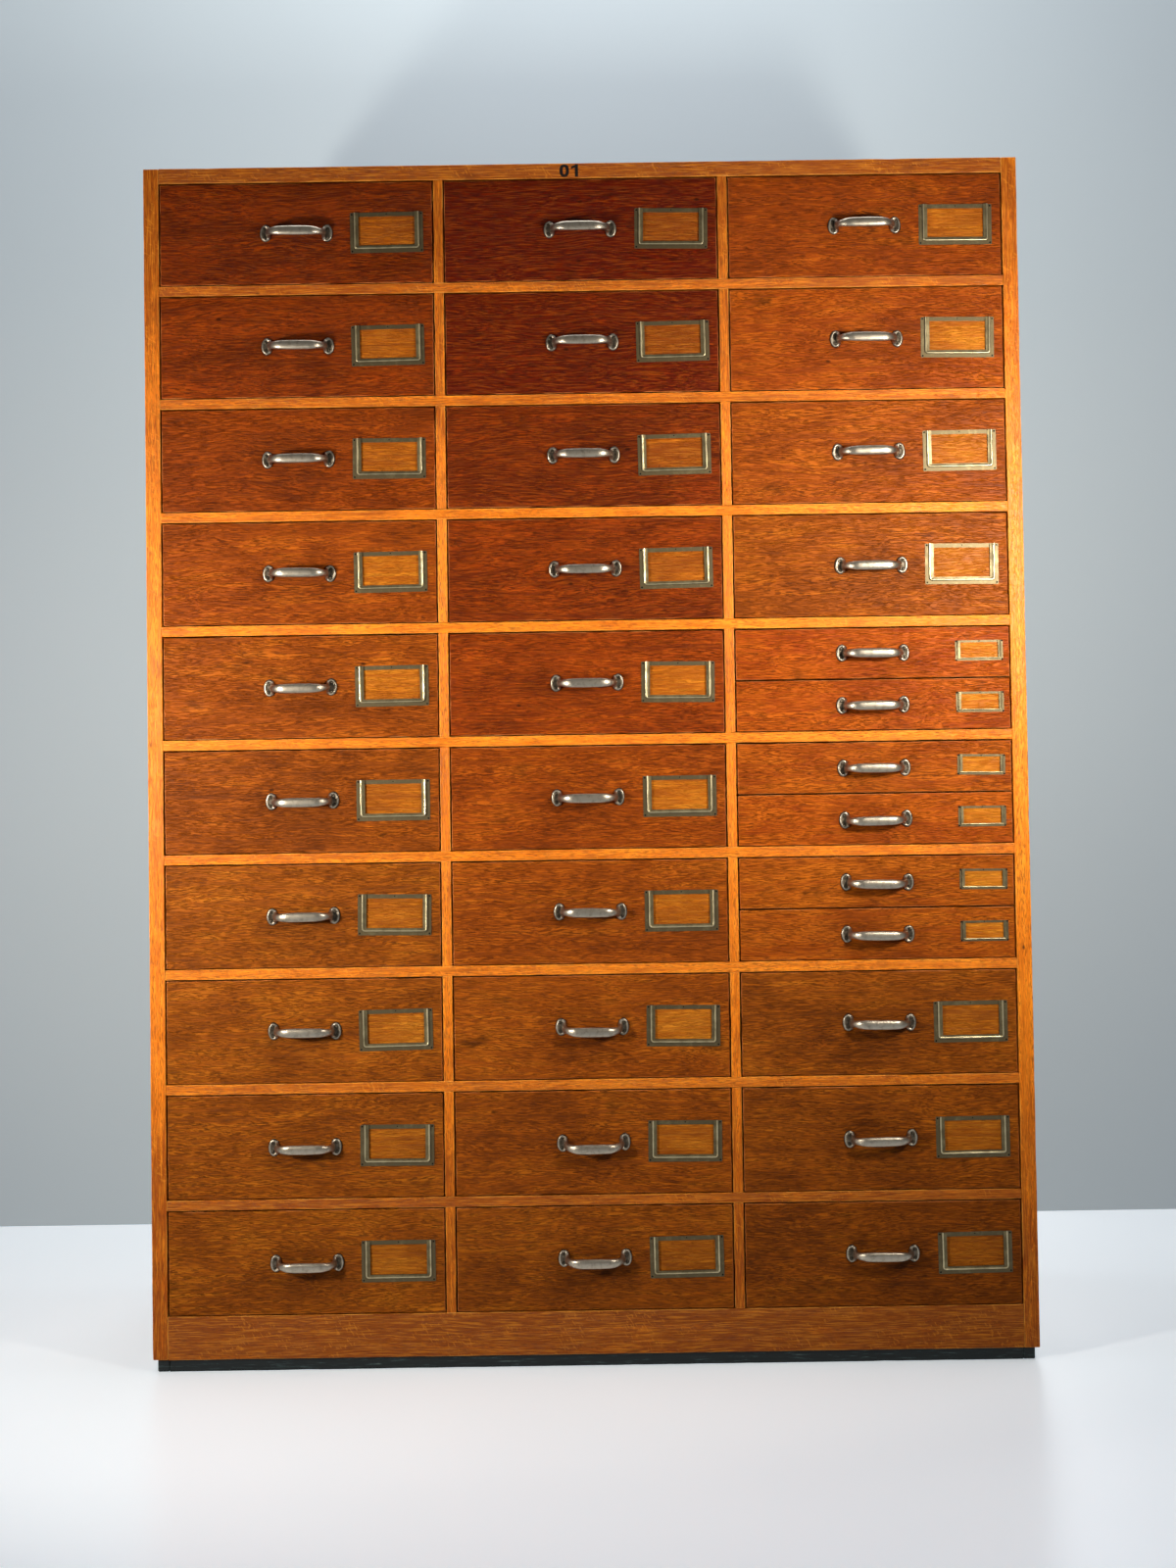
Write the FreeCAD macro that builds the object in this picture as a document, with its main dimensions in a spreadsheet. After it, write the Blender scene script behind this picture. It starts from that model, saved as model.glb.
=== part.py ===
import FreeCAD, Part
import Sketcher
import os
import re

# Pharmacy chest of drawers: an oak case three bays wide and ten rows high, on a low painted plinth.
# X runs to the right, Y to the rear and Z up. The origin is on the floor, under the middle of the case.
# All sizes are in millimetres.

doc = FreeCAD.newDocument("pharmacy_chest")

sizes = {
    # case
    "case_width": 1270,
    "case_depth": 450,
    "gable_thick": 22,
    "partition_thick": 14,
    "top_thick": 22,
    "bottom_thick": 18,
    "opening_height": 150,
    "rail_height": 14.7,
    "rail_depth": 40,
    "base_height": 61.5,
    "base_thick": 20,
    "housing_depth": 6,
    "housing_stop": 12,
    "tenon_length": 10,
    "tenon_thick": 7,
    "tenon_shoulder": 8,
    "joint_clear": 0.1,
    # plinth
    "plinth_height": 18,
    "plinth_thick": 17,
    "plinth_inset": 6,
    # back and its screws
    "back_thick": 8,
    "back_rebate": 10,
    "back_joint": 1,
    "back_screw_head": 7,
    "back_screw_head_high": 2.2,
    "back_screw_shank": 3.5,
    "back_screw_length": 28,
    "back_screw_margin": 5,
    "back_screw_end": 30,
    # runners and stops
    "runner_width": 18,
    "small_runner_width": 14,
    "small_runner_height": 9.5,
    "run_clear": 0.3,
    "kick_clear": 2,
    "stop_clear": 0.3,
    "stop_width": 28,
    "stop_length": 12,
    "stop_height": 5,
    "stop_from_side": 60,
    # drawers
    "front_thick": 18,
    "front_recess": 1.5,
    "front_arris": 1.2,
    "gap_side": 1.8,
    "gap_top": 1.8,
    "gap_bottom": 1.2,
    "gap_between": 1.8,
    "side_thick": 10,
    "lap_depth": 12,
    "box_length": 415,
    "rear_thick": 10,
    "rear_drop": 6,
    "rear_inset": 8,
    "panel_thick": 5,
    "groove_rise": 9,
    "groove_depth": 5,
    "groove_clear": 0.1,
    # bow handle and its screws
    "handle_width": 106,
    "foot_width": 16.5,
    "foot_height": 25,
    "foot_thick": 3.2,
    "foot_rim": 1.7,
    "foot_dish": 1,
    "bow_out": 25.5,
    "bow_flat": 40,
    "bow_high": 13.5,
    "bow_deep": 6.6,
    "bow_swell": 0.3,
    "neck_high": 9,
    "root_high": 11,
    "root_deep": 8,
    "root_in": 3.5,
    "screw_head": 5.3,
    "screw_head_high": 1.4,
    "screw_shank": 3,
    "screw_length": 15,
    "screw_rise": 6.3,
    "screw_in": 6.6,
    # label frames and their pins
    "sheet_thick": 0.8,
    "card_slot": 1.2,
    "lip_round": 0.7,
    "lip_corner": 2,
    "frame_corner": 1.5,
    "frame_width": 106,
    "frame_height": 59,
    "frame_margin": 15,
    "frame_flange": 5.2,
    "frame_side": 12.3,
    "frame_foot": 10.5,
    "frame_head": 6,
    "small_frame_width": 69,
    "small_frame_height": 29.5,
    "small_frame_margin": 11,
    "small_frame_flange": 2.8,
    "small_frame_side": 7.2,
    "small_frame_foot": 4.6,
    "small_frame_head": 3.2,
    "small_frame_rise": 2,
    "pin_head": 2.2,
    "pin_head_high": 0.5,
    "pin_shank": 1.2,
    "pin_length": 8,
    "pin_clear": 0.05,
}

bayCount = 3
rowCount = 10
smallRows = (5, 6, 7)
screwsPerEdge = 7
sides = {"left": -1, "right": 1}
bays = {"left": -1, "middle": 0, "right": 1}

# Lengths that follow from the sizes, as formulas in the same words.
formulas = {
    "front_y": "-case_depth / 2",
    "rear_y": "case_depth / 2",
    "left_x": "-case_width / 2",
    "inner_width": "case_width - 2 * gable_thick",
    "bay_width": f"(inner_width - {bayCount - 1} * partition_thick) / {bayCount}",
    "bay_pitch": "bay_width + partition_thick",
    "row_pitch": "opening_height + rail_height",
    "first_floor": "plinth_height + base_height",
    "rows_high": f"{rowCount} * opening_height + {rowCount - 1} * rail_height",
    "case_height": "first_floor + rows_high + top_thick",
    "panel_y": "rear_y - back_thick",
    "panel_high": "first_floor + rows_high + back_rebate - plinth_height",
    "shelf_depth": "panel_y - front_y - rail_depth",
    "front_width": "bay_width - 2 * gap_side",
    "large_high": "opening_height - gap_top - gap_bottom",
    "small_high": "(opening_height - gap_top - gap_bottom - gap_between) / 2",
    "small_pitch": "small_high + gap_between",
    "stop_y": "front_y + front_recess + front_thick + stop_clear",
    "groove_high": "panel_thick + 2 * groove_clear",
    "foot_x": "(handle_width - foot_width) / 2",
    "dish_y": "foot_dish - foot_thick",
    "bow_reach": "foot_x - root_in - bow_flat / 2",
    "bow_rise": "bow_out - foot_thick / 2",
    "lip_high": "2 * sheet_thick + card_slot",
    "past_face": "1",
}

sheet = doc.addObject("Spreadsheet::Sheet", "Sizes")
for row, (alias, size) in enumerate(sizes.items(), start=1):
    sheet.set(f"A{row}", alias)
    sheet.set(f"B{row}", str(size))
    sheet.setAlias(f"B{row}", alias)
doc.recompute()


def sized(text):
    """Write the words of a formula out as cells of the sheet."""
    def cell(word):
        name = word.group()
        if name in sizes:
            return "Sizes." + name
        return "(" + sized(formulas[name]) + ")" if name in formulas else name
    return re.sub(r"[a-z_]+", cell, str(text))


def value(text):
    return float(sheet.evalExpression(sized(text)))


def bind(thing, **formula):
    for prop, text in formula.items():
        thing.setExpression(prop.replace("__", "."), sized(text))
    return thing


def box(name, x, y, z, wide, deep, high):
    block = doc.addObject("Part::Box", name)
    bind(block, Length=wide, Width=deep, Height=high)
    return bind(block, Placement__Base__x=x, Placement__Base__y=y, Placement__Base__z=z)


def group(name, pieces):
    gathered = doc.addObject("Part::Compound", name)
    gathered.Links = list(pieces)
    return gathered


def placed(name, piece, x="0", y="0", z="0"):
    copy = group(name, [piece])
    return bind(copy, Placement__Base__x=x, Placement__Base__y=y, Placement__Base__z=z)


def mirrored(name, piece):
    copy = doc.addObject("Part::Mirroring", name)
    copy.Source = piece
    copy.Normal = (1, 0, 0)
    return copy


def fuse(name, *pieces):
    joined = doc.addObject("Part::MultiFuse", name)
    joined.Shapes = list(pieces)
    joined.Refine = True
    return joined


def cut(name, base, tool):
    result = doc.addObject("Part::Cut", name)
    result.Base = base
    result.Tool = tool
    return result


def oval(name, x, y, high, wide, turn):
    """An upright ellipse that faces along the turned X axis."""
    ring = doc.addObject("Part::Ellipse", name)
    bind(ring, MajorRadius=f"({high}) / 2", MinorRadius=f"({wide}) / 2")
    place = f"placement(vector({x}; {y}; 0); rotationz({turn}) * rotation(vector(1; 0; 1); 180))"
    return bind(ring, Placement=place)


def corners(x1, y1, x2, y2):
    return [(x1, y1), (x2, y1), (x2, y2), (x1, y2)]


def origin_part(body, role):
    return next(part for part in body.Origin.OriginFeatures if part.Role == role)


def sketch(body, name, plane, points, level="0"):
    """A closed outline whose corners are each tied to the sheet."""
    drawn = body.newObject("Sketcher::SketchObject", name)
    drawn.AttachmentSupport = [(origin_part(body, plane), "")]
    drawn.MapMode = "FlatFace"
    drawn.setExpression("AttachmentOffset.Base.z", sized(level))
    spots = [FreeCAD.Vector(value(across), value(up), 0) for across, up in points]
    for start, end in zip(spots, spots[1:] + spots[:1]):
        drawn.addGeometry(Part.LineSegment(start, end))
    for index in range(len(spots)):
        following = (index + 1) % len(spots)
        drawn.addConstraint(Sketcher.Constraint("Coincident", index, 2, following, 1))
    for index, spot in enumerate(spots):
        for kind, text, size in zip(("DistanceX", "DistanceY"), points[index], (spot.x, spot.y)):
            number = drawn.addConstraint(Sketcher.Constraint(kind, -1, 1, index, 1, size))
            drawn.setExpression(f"Constraints[{number}]", sized(text))
    return drawn


def feature(body, kind, name, profile, length, reverse=False):
    """A pad or a pocket, which has to add to the body or take from it."""
    doc.recompute()
    before = body.Shape.Volume if body.Tip else 0
    step = body.newObject("PartDesign::" + kind, name)
    step.Profile = profile
    step.Reversed = reverse
    bind(step, Length=length)
    body.Tip = step
    doc.recompute()
    if (body.Shape.Volume > before) != (kind == "Pad"):
        raise ValueError(f"{name} in {body.Name} changes nothing")
    return step


def rounded(body, name, radius, chosen):
    """Round the edges of the body that the test picks by the box around them."""
    base = body.Tip
    picked = [f"Edge{number}" for number, edge in enumerate(base.Shape.Edges, 1) if chosen(edge.BoundBox)]
    fillet = body.newObject("PartDesign::Fillet", name)
    fillet.Base = (base, picked)
    bind(fillet, Radius=radius)
    body.Tip = fillet
    doc.recompute()
    return fillet


def floor_of(row):
    """The level that the drawers of a row run on, counting rows from the top."""
    return f"(first_floor + {rowCount - row} * row_pitch)"


def bay_middle(bay):
    return f"({bays[bay]} * bay_pitch)"


def partition_middle(side):
    return f"({sides[side]} * bay_pitch / 2)"


nodes = {}
nearly = 0.01


# Screws and pins


def make_shaft(name, diameter, length, start="0"):
    """A cylinder that runs to the rear from its start."""
    shaft = doc.addObject("Part::Cylinder", name)
    shaft.Placement.Rotation = FreeCAD.Rotation(FreeCAD.Vector(1, 0, 0), -90)
    return bind(shaft, Radius=f"({diameter}) / 2", Height=length, Placement__Base__y=start)


def make_round_head(name, size):
    """A round-headed screw or pin, with its head on the plane of its origin and its shank to the rear."""
    radius = f"({size}_head ^ 2 / 4 + {size}_head_high ^ 2) / (2 * {size}_head_high)"
    head = doc.addObject("Part::Sphere", name + "_dome")
    head.Placement.Rotation = FreeCAD.Rotation(FreeCAD.Vector(1, 0, 0), 90)
    bind(head, Radius=radius, Angle1=f"asin(1 - {size}_head_high / ({radius}))",
         Placement__Base__y=f"({radius}) - {size}_head_high")
    return fuse(name, head, make_shaft(name + "_shank", size + "_shank", size + "_length"))


def make_hole(name, size, clear):
    """The hole for a round-headed screw or pin."""
    length = f"{size}_length + {clear} + past_face"
    return make_shaft(name, f"{size}_shank + 2 * {clear}", length, "-past_face")


def make_back_screw(name, clear):
    """A countersunk screw driven forwards into the case, or with some clearance the hole for one."""
    shank = make_shaft(name + "_shank", f"back_screw_shank + 2 * {clear}", f"back_screw_length + {clear}",
                       f"-back_screw_length - {clear}")
    head = doc.addObject("Part::Cone", name + "_cone")
    head.Placement.Rotation = FreeCAD.Rotation(FreeCAD.Vector(1, 0, 0), 90)
    bind(head, Radius1=f"back_screw_head / 2 + {clear}", Radius2=f"back_screw_shank / 2 + {clear}",
         Height="back_screw_head_high")
    return fuse(name, shank, head)


def back_screw_spots():
    """Where the back is screwed: to both gables, and on each side of the joints on the partitions."""
    columns = [f"{way} * (inner_width / 2 + back_rebate - back_screw_margin)" for way in sides.values()]
    columns += [f"{partition_middle(side)} + {way} * (back_joint + partition_thick) / 4"
                for side in sides for way in sides.values()]
    span = f"(panel_high - 2 * back_screw_end) / {screwsPerEdge - 1}"
    rows = [f"plinth_height + back_screw_end + {number} * {span}" for number in range(screwsPerEdge)]
    return [(column, row) for column in columns for row in rows]


back_screw = make_back_screw("back_screw", "0")
back_hole = make_back_screw("back_screw_hole", "joint_clear")
nodes["back_screws"] = group("back_screw_set", [
    placed(f"back_screw_{number}", back_screw, x, "rear_y", z)
    for number, (x, z) in enumerate(back_screw_spots())])
back_holes = group("back_holes", [
    placed(f"back_hole_{number}", back_hole, x, "rear_y", z)
    for number, (x, z) in enumerate(back_screw_spots())])


# Case


def make_gable():
    """The left side board: a rebate for the back, mortises for the rails and housings for the boards."""
    body = doc.addObject("PartDesign::Body", "gable_board")
    inner = "left_x + gable_thick"
    outline = corners("left_x", "front_y", inner, "rear_y")
    plan = sketch(body, "gable_plan", "XY_Plane", outline, "plinth_height")
    feature(body, "Pad", "board", plan, "case_height - plinth_height")
    step = corners(f"{inner} - back_rebate", "panel_y", f"{inner} + past_face", "rear_y + past_face")
    rebate = sketch(body, "rebate_plan", "XY_Plane", step, "plinth_height")
    feature(body, "Pocket", "rebate", rebate, "panel_high", True)
    housed = {"top_housing": ("case_height - top_thick", "case_height + past_face", "rear_y + past_face"),
              "bottom_housing": ("first_floor - bottom_thick", "first_floor", "panel_y")}
    for name, (low, high, rear) in housed.items():
        seat = corners("front_y + housing_stop", low, rear, high)
        feature(body, "Pocket", name, sketch(body, name + "_plan", "YZ_Plane", seat, inner), "housing_depth")
    middle = f"{floor_of(rowCount - 1)} - rail_height / 2"
    half = "(tenon_thick / 2 + joint_clear)"
    shoulder = "(tenon_shoulder - joint_clear)"
    slot = sketch(body, "mortise_plan", "YZ_Plane",
                  corners(f"front_y + {shoulder}", f"{middle} - {half}",
                          f"front_y + rail_depth - {shoulder}", f"{middle} + {half}"), inner)
    mortise = feature(body, "Pocket", "mortise", slot, "tenon_length + joint_clear")
    mortises = body.newObject("PartDesign::LinearPattern", "mortises")
    mortises.Originals = [mortise]
    mortises.Direction = (origin_part(body, "Z_Axis"), [""])
    mortises.Occurrences = rowCount - 1
    bind(mortises, Length=f"{rowCount - 2} * row_pitch")
    body.Tip = mortises
    return body


def make_housed_board(name, z, high, front, rear):
    """A board between the gables, whose ends enter housings that stop short of the front."""
    board = box(name + "_body", "-inner_width / 2", front, z, "inner_width", f"{rear} - ({front})", high)
    start = f"max({front}; front_y + housing_stop + joint_clear)"
    reach = "(inner_width / 2 + housing_depth - joint_clear)"
    tongue = box(name + "_tongue", f"-{reach}", start, z, f"2 * {reach}", f"{rear} - {start}", high)
    return fuse(name, board, tongue)


def make_rail():
    """A front rail at its own level, with a stub tenon at each end."""
    bar = box("rail_bar", "-inner_width / 2", "front_y", "-rail_height", "inner_width", "rail_depth",
              "rail_height")
    reach = "(inner_width / 2 + tenon_length)"
    tenons = box("rail_tenons", f"-{reach}", "front_y + tenon_shoulder", "-(rail_height + tenon_thick) / 2",
                 f"2 * {reach}", "rail_depth - 2 * tenon_shoulder", "tenon_thick")
    return fuse("rail", bar, tenons)


gable = make_gable()
nodes["left_gable"] = cut("left_gable_drilled", gable, back_holes)
nodes["right_gable"] = cut("right_gable_drilled", mirrored("right_gable_board", gable), back_holes)

top_blank = make_housed_board("top_blank", "case_height - top_thick", "top_thick", "front_y", "rear_y")
nodes["top_board"] = cut("top_rebated", top_blank, box(
    "top_rebate", "-inner_width / 2 - back_rebate", "panel_y", "case_height - top_thick - past_face",
    "inner_width + 2 * back_rebate", "back_thick + past_face", "back_rebate + past_face"))
nodes["bottom_board"] = make_housed_board(
    "bottom", "first_floor - bottom_thick", "bottom_thick", "front_y + base_thick", "panel_y")
nodes["base_board"] = box("front_base", "-inner_width / 2", "front_y", "plinth_height",
                          "inner_width", "base_thick", "base_height")
nodes["rear_base_board"] = cut("rear_base_drilled", box(
    "rear_base", "-inner_width / 2", "panel_y - base_thick", "plinth_height",
    "inner_width", "base_thick", "base_height - bottom_thick"), back_holes)

for side in sides:
    wall = f"{partition_middle(side)} - partition_thick / 2"
    partition = box(side + "_partition_blank", wall, "front_y + rail_depth", "first_floor",
                    "partition_thick", "shelf_depth", "rows_high")
    nodes[side + "_partition"] = cut(side + "_partition_drilled", partition, back_holes)
    nodes[side + "_muntins"] = group(side + "_muntin_set", [
        box(f"{side}_muntin_{row}", wall, "front_y", floor_of(row),
            "partition_thick", "rail_depth", "opening_height")
        for row in range(1, rowCount + 1)])

rail = make_rail()
for row in range(1, rowCount):
    nodes[f"front_rail_{row}"] = placed(f"rail_{row}", rail, z=floor_of(row))

panel_edge = "(inner_width / 2 + back_rebate)"
left_joint, right_joint = (partition_middle(side) for side in sides)
panels = {"left": (f"-{panel_edge}", f"{left_joint} - back_joint / 2"),
          "middle": (f"{left_joint} + back_joint / 2", f"{right_joint} - back_joint / 2"),
          "right": (f"{right_joint} + back_joint / 2", panel_edge)}
nodes["back_panels"] = group("back_panel_set", [
    cut(bay + "_panel", box(bay + "_panel_blank", start, "panel_y", "plinth_height", f"{end} - ({start})",
                            "back_thick", "panel_high"), back_holes)
    for bay, (start, end) in panels.items()])

plinth_front = "(front_y + plinth_inset)"
plinth_rear = "(rear_y - plinth_inset)"
nodes["plinth_sides"] = group("plinth_side_set", [
    box(f"{side}_plinth", f"{way} * (case_width / 2 - plinth_inset - plinth_thick / 2) - plinth_thick / 2",
        plinth_front, "0", "plinth_thick", "case_depth - 2 * plinth_inset", "plinth_height")
    for side, way in sides.items()])
between = "(case_width - 2 * plinth_inset - 2 * plinth_thick)"
nodes["plinth_rails"] = group("plinth_rail_set", [
    box(end + "_plinth_rail", f"-{between} / 2", y, "0", between, "plinth_thick", "plinth_height")
    for end, y in (("front", plinth_front), ("rear", f"{plinth_rear} - plinth_thick"))])
bearer_front = f"max({plinth_front} + plinth_thick; front_y + base_thick)"
bearer_rear = f"min({plinth_rear} - plinth_thick; panel_y - base_thick)"
nodes["middle_bearer"] = box("bearer", "-plinth_thick / 2", bearer_front, "0", "plinth_thick",
                             f"{bearer_rear} - {bearer_front}", "first_floor - bottom_thick")


# Runners and stops


def runner_start(bay, way, wide):
    """The left face of a runner against the left or right wall of a bay."""
    return f"{bay_middle(bay)} + {way} * (bay_width - {wide}) / 2 - {wide} / 2"


nodes["drawer_runners"] = group("runner_set", [
    box(f"runner_{bay}_{row}_{side}", runner_start(bay, way, "runner_width"), "front_y + rail_depth",
        f"{floor_of(row)} - rail_height", "runner_width", "shelf_depth", "rail_height")
    for bay in bays for row in range(1, rowCount) for side, way in sides.items()])

nodes["small_drawer_runners"] = group("small_runner_set", [
    box(f"small_runner_{row}_{level}_{side}", runner_start("right", way, "small_runner_width"), "stop_y",
        f"{floor_of(row)} + {level} * small_pitch", "small_runner_width", "panel_y - stop_y",
        "small_runner_height")
    for row in smallRows for level in (0, 1) for side, way in sides.items()])

nodes["drawer_stops"] = group("stop_set", [
    box(f"stop_{bay}_{row}_{side}",
        f"{bay_middle(bay)} + {way} * (bay_width / 2 - stop_from_side) - stop_width / 2", "stop_y",
        floor_of(row), "stop_width", "stop_length", "stop_height")
    for bay in bays for row in range(1, rowCount + 1) for side, way in sides.items()
    if not (bay == "right" and row in smallRows)])


# Handle and label frames


def make_foot():
    """An oval plate with a raised rim, which lies on the drawer front."""
    outline = oval("foot_outline", "-foot_x", "0", "foot_height", "foot_width", "90")
    hollow = oval("dish_outline", "-foot_x", "dish_y", "foot_height - 2 * foot_rim",
                  "foot_width - 2 * foot_rim", "90")
    solids = []
    for ring, length in ((outline, "foot_thick"), (hollow, "foot_dish + past_face")):
        solid = doc.addObject("Part::Extrusion", ring.Name + "_solid")
        solid.Base = ring
        solid.DirMode = "Custom"
        solid.Dir = (0, -1, 0)
        solid.Solid = True
        solids.append(bind(solid, LengthFwd=length))
    return cut("left_foot", *solids)


def make_bow():
    """The grip: an oval bar that leaves one foot, turns through a quarter ellipse, runs level and returns."""
    stations = [(0, "root_high", "root_deep"), (30, "neck_high", "(root_deep + bow_deep) / 2"),
                (60, "(neck_high + bow_high) / 2", "bow_deep"), (90, "bow_high - bow_swell", "bow_deep")]
    rings = {way: [oval(f"bow_{side}_{angle}", f"{way} * (bow_flat / 2 + bow_reach * cos({angle}))",
                        f"-foot_thick / 2 - bow_rise * sin({angle})", high, deep,
                        f"atan2({way} * bow_rise * cos({angle}); bow_reach * sin({angle}))")
                   for angle, high, deep in stations] for side, way in sides.items()}
    middle = oval("bow_middle", "0", "-bow_out - bow_swell", "bow_high", "bow_deep", "0")
    bow = doc.addObject("Part::Loft", "bow")
    bow.Sections = rings[-1] + [middle] + rings[1][::-1]
    bow.Solid = True
    return bow


def make_label_frame(name, prefix):
    """A pressed brass frame: a flat flange, and on three sides a raised lip over a slot for a card."""
    body = doc.addObject("PartDesign::Body", name)
    size = {word: f"{prefix}frame_{word}" for word in ("width", "height", "flange", "side", "foot", "head")}
    edge, high = f"{size['width']} / 2", f"{size['height']} / 2"
    lip_x = f"({edge} - {size['flange']})"
    lip_low = f"({size['flange']} - {high})"
    window_x = f"({edge} - {size['side']})"
    window_low = f"({size['foot']} - {high})"
    flange = sketch(body, name + "_flange", "XZ_Plane", corners(f"-{edge}", f"-{high}", edge, high))
    feature(body, "Pad", "flange", flange, "sheet_thick")
    rounded(body, "flange_corners", "frame_corner", lambda b: b.XLength < nearly and b.ZLength < nearly)
    lip = sketch(body, name + "_lip", "XZ_Plane", corners(f"-{lip_x}", lip_low, lip_x, high))
    feature(body, "Pad", "lip", lip, "lip_high")
    outer = value(lip_x) - nearly
    bottom = value(lip_low) + nearly
    front = nearly - value("lip_high")
    rounded(body, "lip_corners", "lip_corner", lambda b: b.XLength < nearly and b.ZLength < nearly and (
        b.YMin < front and b.ZMax < bottom))
    rounded(body, "lip_edge", "lip_round", lambda b: b.YMax < front and (
        (b.XLength < nearly and abs(b.XMin) > outer) or b.ZMax < bottom + value("lip_corner")))
    opening = corners(f"-{window_x}", window_low, window_x, f"{high} - {size['head']}")
    window = sketch(body, name + "_window", "XZ_Plane", opening, "-past_face")
    feature(body, "Pocket", "window", window, "lip_high + 2 * past_face", True)
    opening = corners(f"-{window_x}", window_low, window_x, f"{high} + past_face")
    mouth = sketch(body, name + "_mouth", "XZ_Plane", opening, "sheet_thick")
    feature(body, "Pocket", "mouth", mouth, "lip_high", True)
    slot_x = f"({lip_x} - sheet_thick)"
    opening = corners(f"-{slot_x}", "-sheet_thick - card_slot", slot_x, "-sheet_thick")
    slot = sketch(body, name + "_slot", "XY_Plane", opening, f"{high} + past_face")
    feature(body, "Pocket", "slot", slot, f"{high} + past_face - {lip_low} - sheet_thick")
    return body


def fastened(name, piece, pin, hole, seat, spots):
    """A fitting that is drilled for its screws or pins and has them in place, and their holes."""
    holes = group(name + "_holes", [
        placed(f"{name}_hole_{number}", hole, x, seat, z) for number, (x, z) in enumerate(spots)])
    pins = [placed(f"{name}_pin_{number}", pin, x, seat, z) for number, (x, z) in enumerate(spots)]
    return group(name + "_set", [cut(name + "_drilled", piece, holes), *pins]), holes


def corner_spots(across, up):
    return [(f"{x} * ({across})", f"{z} * ({up})") for x in sides.values() for z in sides.values()]


def pinned_frame(name, prefix, pin, hole):
    frame = make_label_frame(name, prefix)
    inset = f"{prefix}frame_flange / 2"
    spots = corner_spots(f"{prefix}frame_width / 2 - {inset}", f"{prefix}frame_height / 2 - {inset}")
    return fastened(name, frame, pin, hole, "-sheet_thick", spots)


foot = make_foot()
handle = fuse("handle", foot, mirrored("right_foot", foot), make_bow())
handle_set = fastened("handle", handle, make_round_head("screw", "screw"),
                      make_hole("screw_hole", "screw", "joint_clear"), "dish_y",
                      corner_spots("handle_width / 2 - screw_in", "screw_rise"))
label_pin = make_round_head("pin", "pin")
label_hole = make_hole("pin_hole", "pin", "pin_clear")
label_set = pinned_frame("label_frame", "", label_pin, label_hole)
small_label_set = pinned_frame("small_label_frame", "small_", label_pin, label_hole)


# Drawers


def make_front(name, high, low_side, top_side):
    """A drawer front, lapped at its ends for the sides and grooved for the bottom panel."""
    body = doc.addObject("PartDesign::Body", name)
    half = "front_width / 2"
    outline = corners(f"-{half}", "gap_bottom", half, f"gap_bottom + {high}")
    feature(body, "Pad", "board", sketch(body, name + "_face", "XZ_Plane", outline), "front_thick", True)
    rounded(body, "arris", "front_arris", lambda b: b.YMax < nearly)
    outline = corners(f"-{half} - past_face", low_side, f"side_thick - {half}", top_side)
    lap = sketch(body, name + "_lap", "XZ_Plane", outline, "-front_thick")
    cheek = feature(body, "Pocket", "lap", lap, "lap_depth", True)
    laps = body.newObject("PartDesign::Mirrored", "laps")
    laps.Originals = [cheek]
    laps.MirrorPlane = (origin_part(body, "YZ_Plane"), [""])
    body.Tip = laps
    low = f"{low_side} + groove_rise"
    outline = corners(f"side_thick - {half}", low, f"{half} - side_thick", f"{low} + groove_high")
    groove = sketch(body, name + "_groove", "XZ_Plane", outline, "-front_thick")
    feature(body, "Pocket", "groove", groove, "groove_depth", True)
    return body


def make_side(name, low_side, top_side):
    """The left side of a drawer, with the groove that its bottom panel lies in."""
    body = doc.addObject("PartDesign::Body", name)
    outer = "-front_width / 2"
    start = "front_thick - lap_depth"
    outline = corners(start, low_side, "box_length", top_side)
    feature(body, "Pad", "board", sketch(body, name + "_profile", "YZ_Plane", outline, outer), "side_thick")
    low = f"{low_side} + groove_rise"
    outline = corners(f"{start} - past_face", low, "box_length + past_face", f"{low} + groove_high")
    groove = sketch(body, name + "_groove", "YZ_Plane", outline, f"{outer} + side_thick")
    feature(body, "Pocket", "groove", groove, "groove_depth")
    return body


def make_drawer(name, high, low_side, top_side, label, label_x, label_rise):
    """One drawer in its own frame: X from its middle, Y from its face, Z from the level that it runs on."""
    side = make_side(name + "_side", low_side, top_side)
    middle = f"gap_bottom + {high} / 2"
    fittings = [("handle", *handle_set, "0", middle), ("label", *label, label_x, f"{middle} + {label_rise}")]
    holes = group(name + "_holes", [
        placed(f"{name}_{word}_holes", hole, x=x, z=z) for word, fitting, hole, x, z in fittings])
    inside = "(front_width - 2 * side_thick)"
    panel_low = f"({low_side} + groove_rise + groove_clear)"
    reach = f"({inside} / 2 + groove_depth - groove_clear)"
    panel_start = "(front_thick - groove_depth + groove_clear)"
    return group(name, [
        cut(name + "_front_drilled", make_front(name + "_front", high, low_side, top_side), holes),
        side,
        mirrored(name + "_right_side", side),
        box(name + "_rear", f"-{inside} / 2", "box_length - rear_inset - rear_thick",
            f"{panel_low} + panel_thick", inside, "rear_thick",
            f"{top_side} - rear_drop - {panel_low} - panel_thick"),
        box(name + "_panel", f"-{reach}", panel_start, panel_low, f"2 * {reach}",
            f"box_length - rear_inset - {panel_start}", "panel_thick"),
        *[placed(f"{name}_{word}", fitting, x=x, z=z) for word, fitting, hole, x, z in fittings]])


large_drawer = make_drawer("large_drawer", "large_high", "run_clear", "(opening_height - kick_clear)",
                           label_set, "bay_width / 2 - frame_margin - frame_width / 2", "0")
small_drawer = make_drawer("small_drawer", "small_high", "(small_runner_height + run_clear)",
                           "(small_pitch - kick_clear)", small_label_set,
                           "bay_width / 2 - small_frame_margin - small_frame_width / 2", "small_frame_rise")

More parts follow.
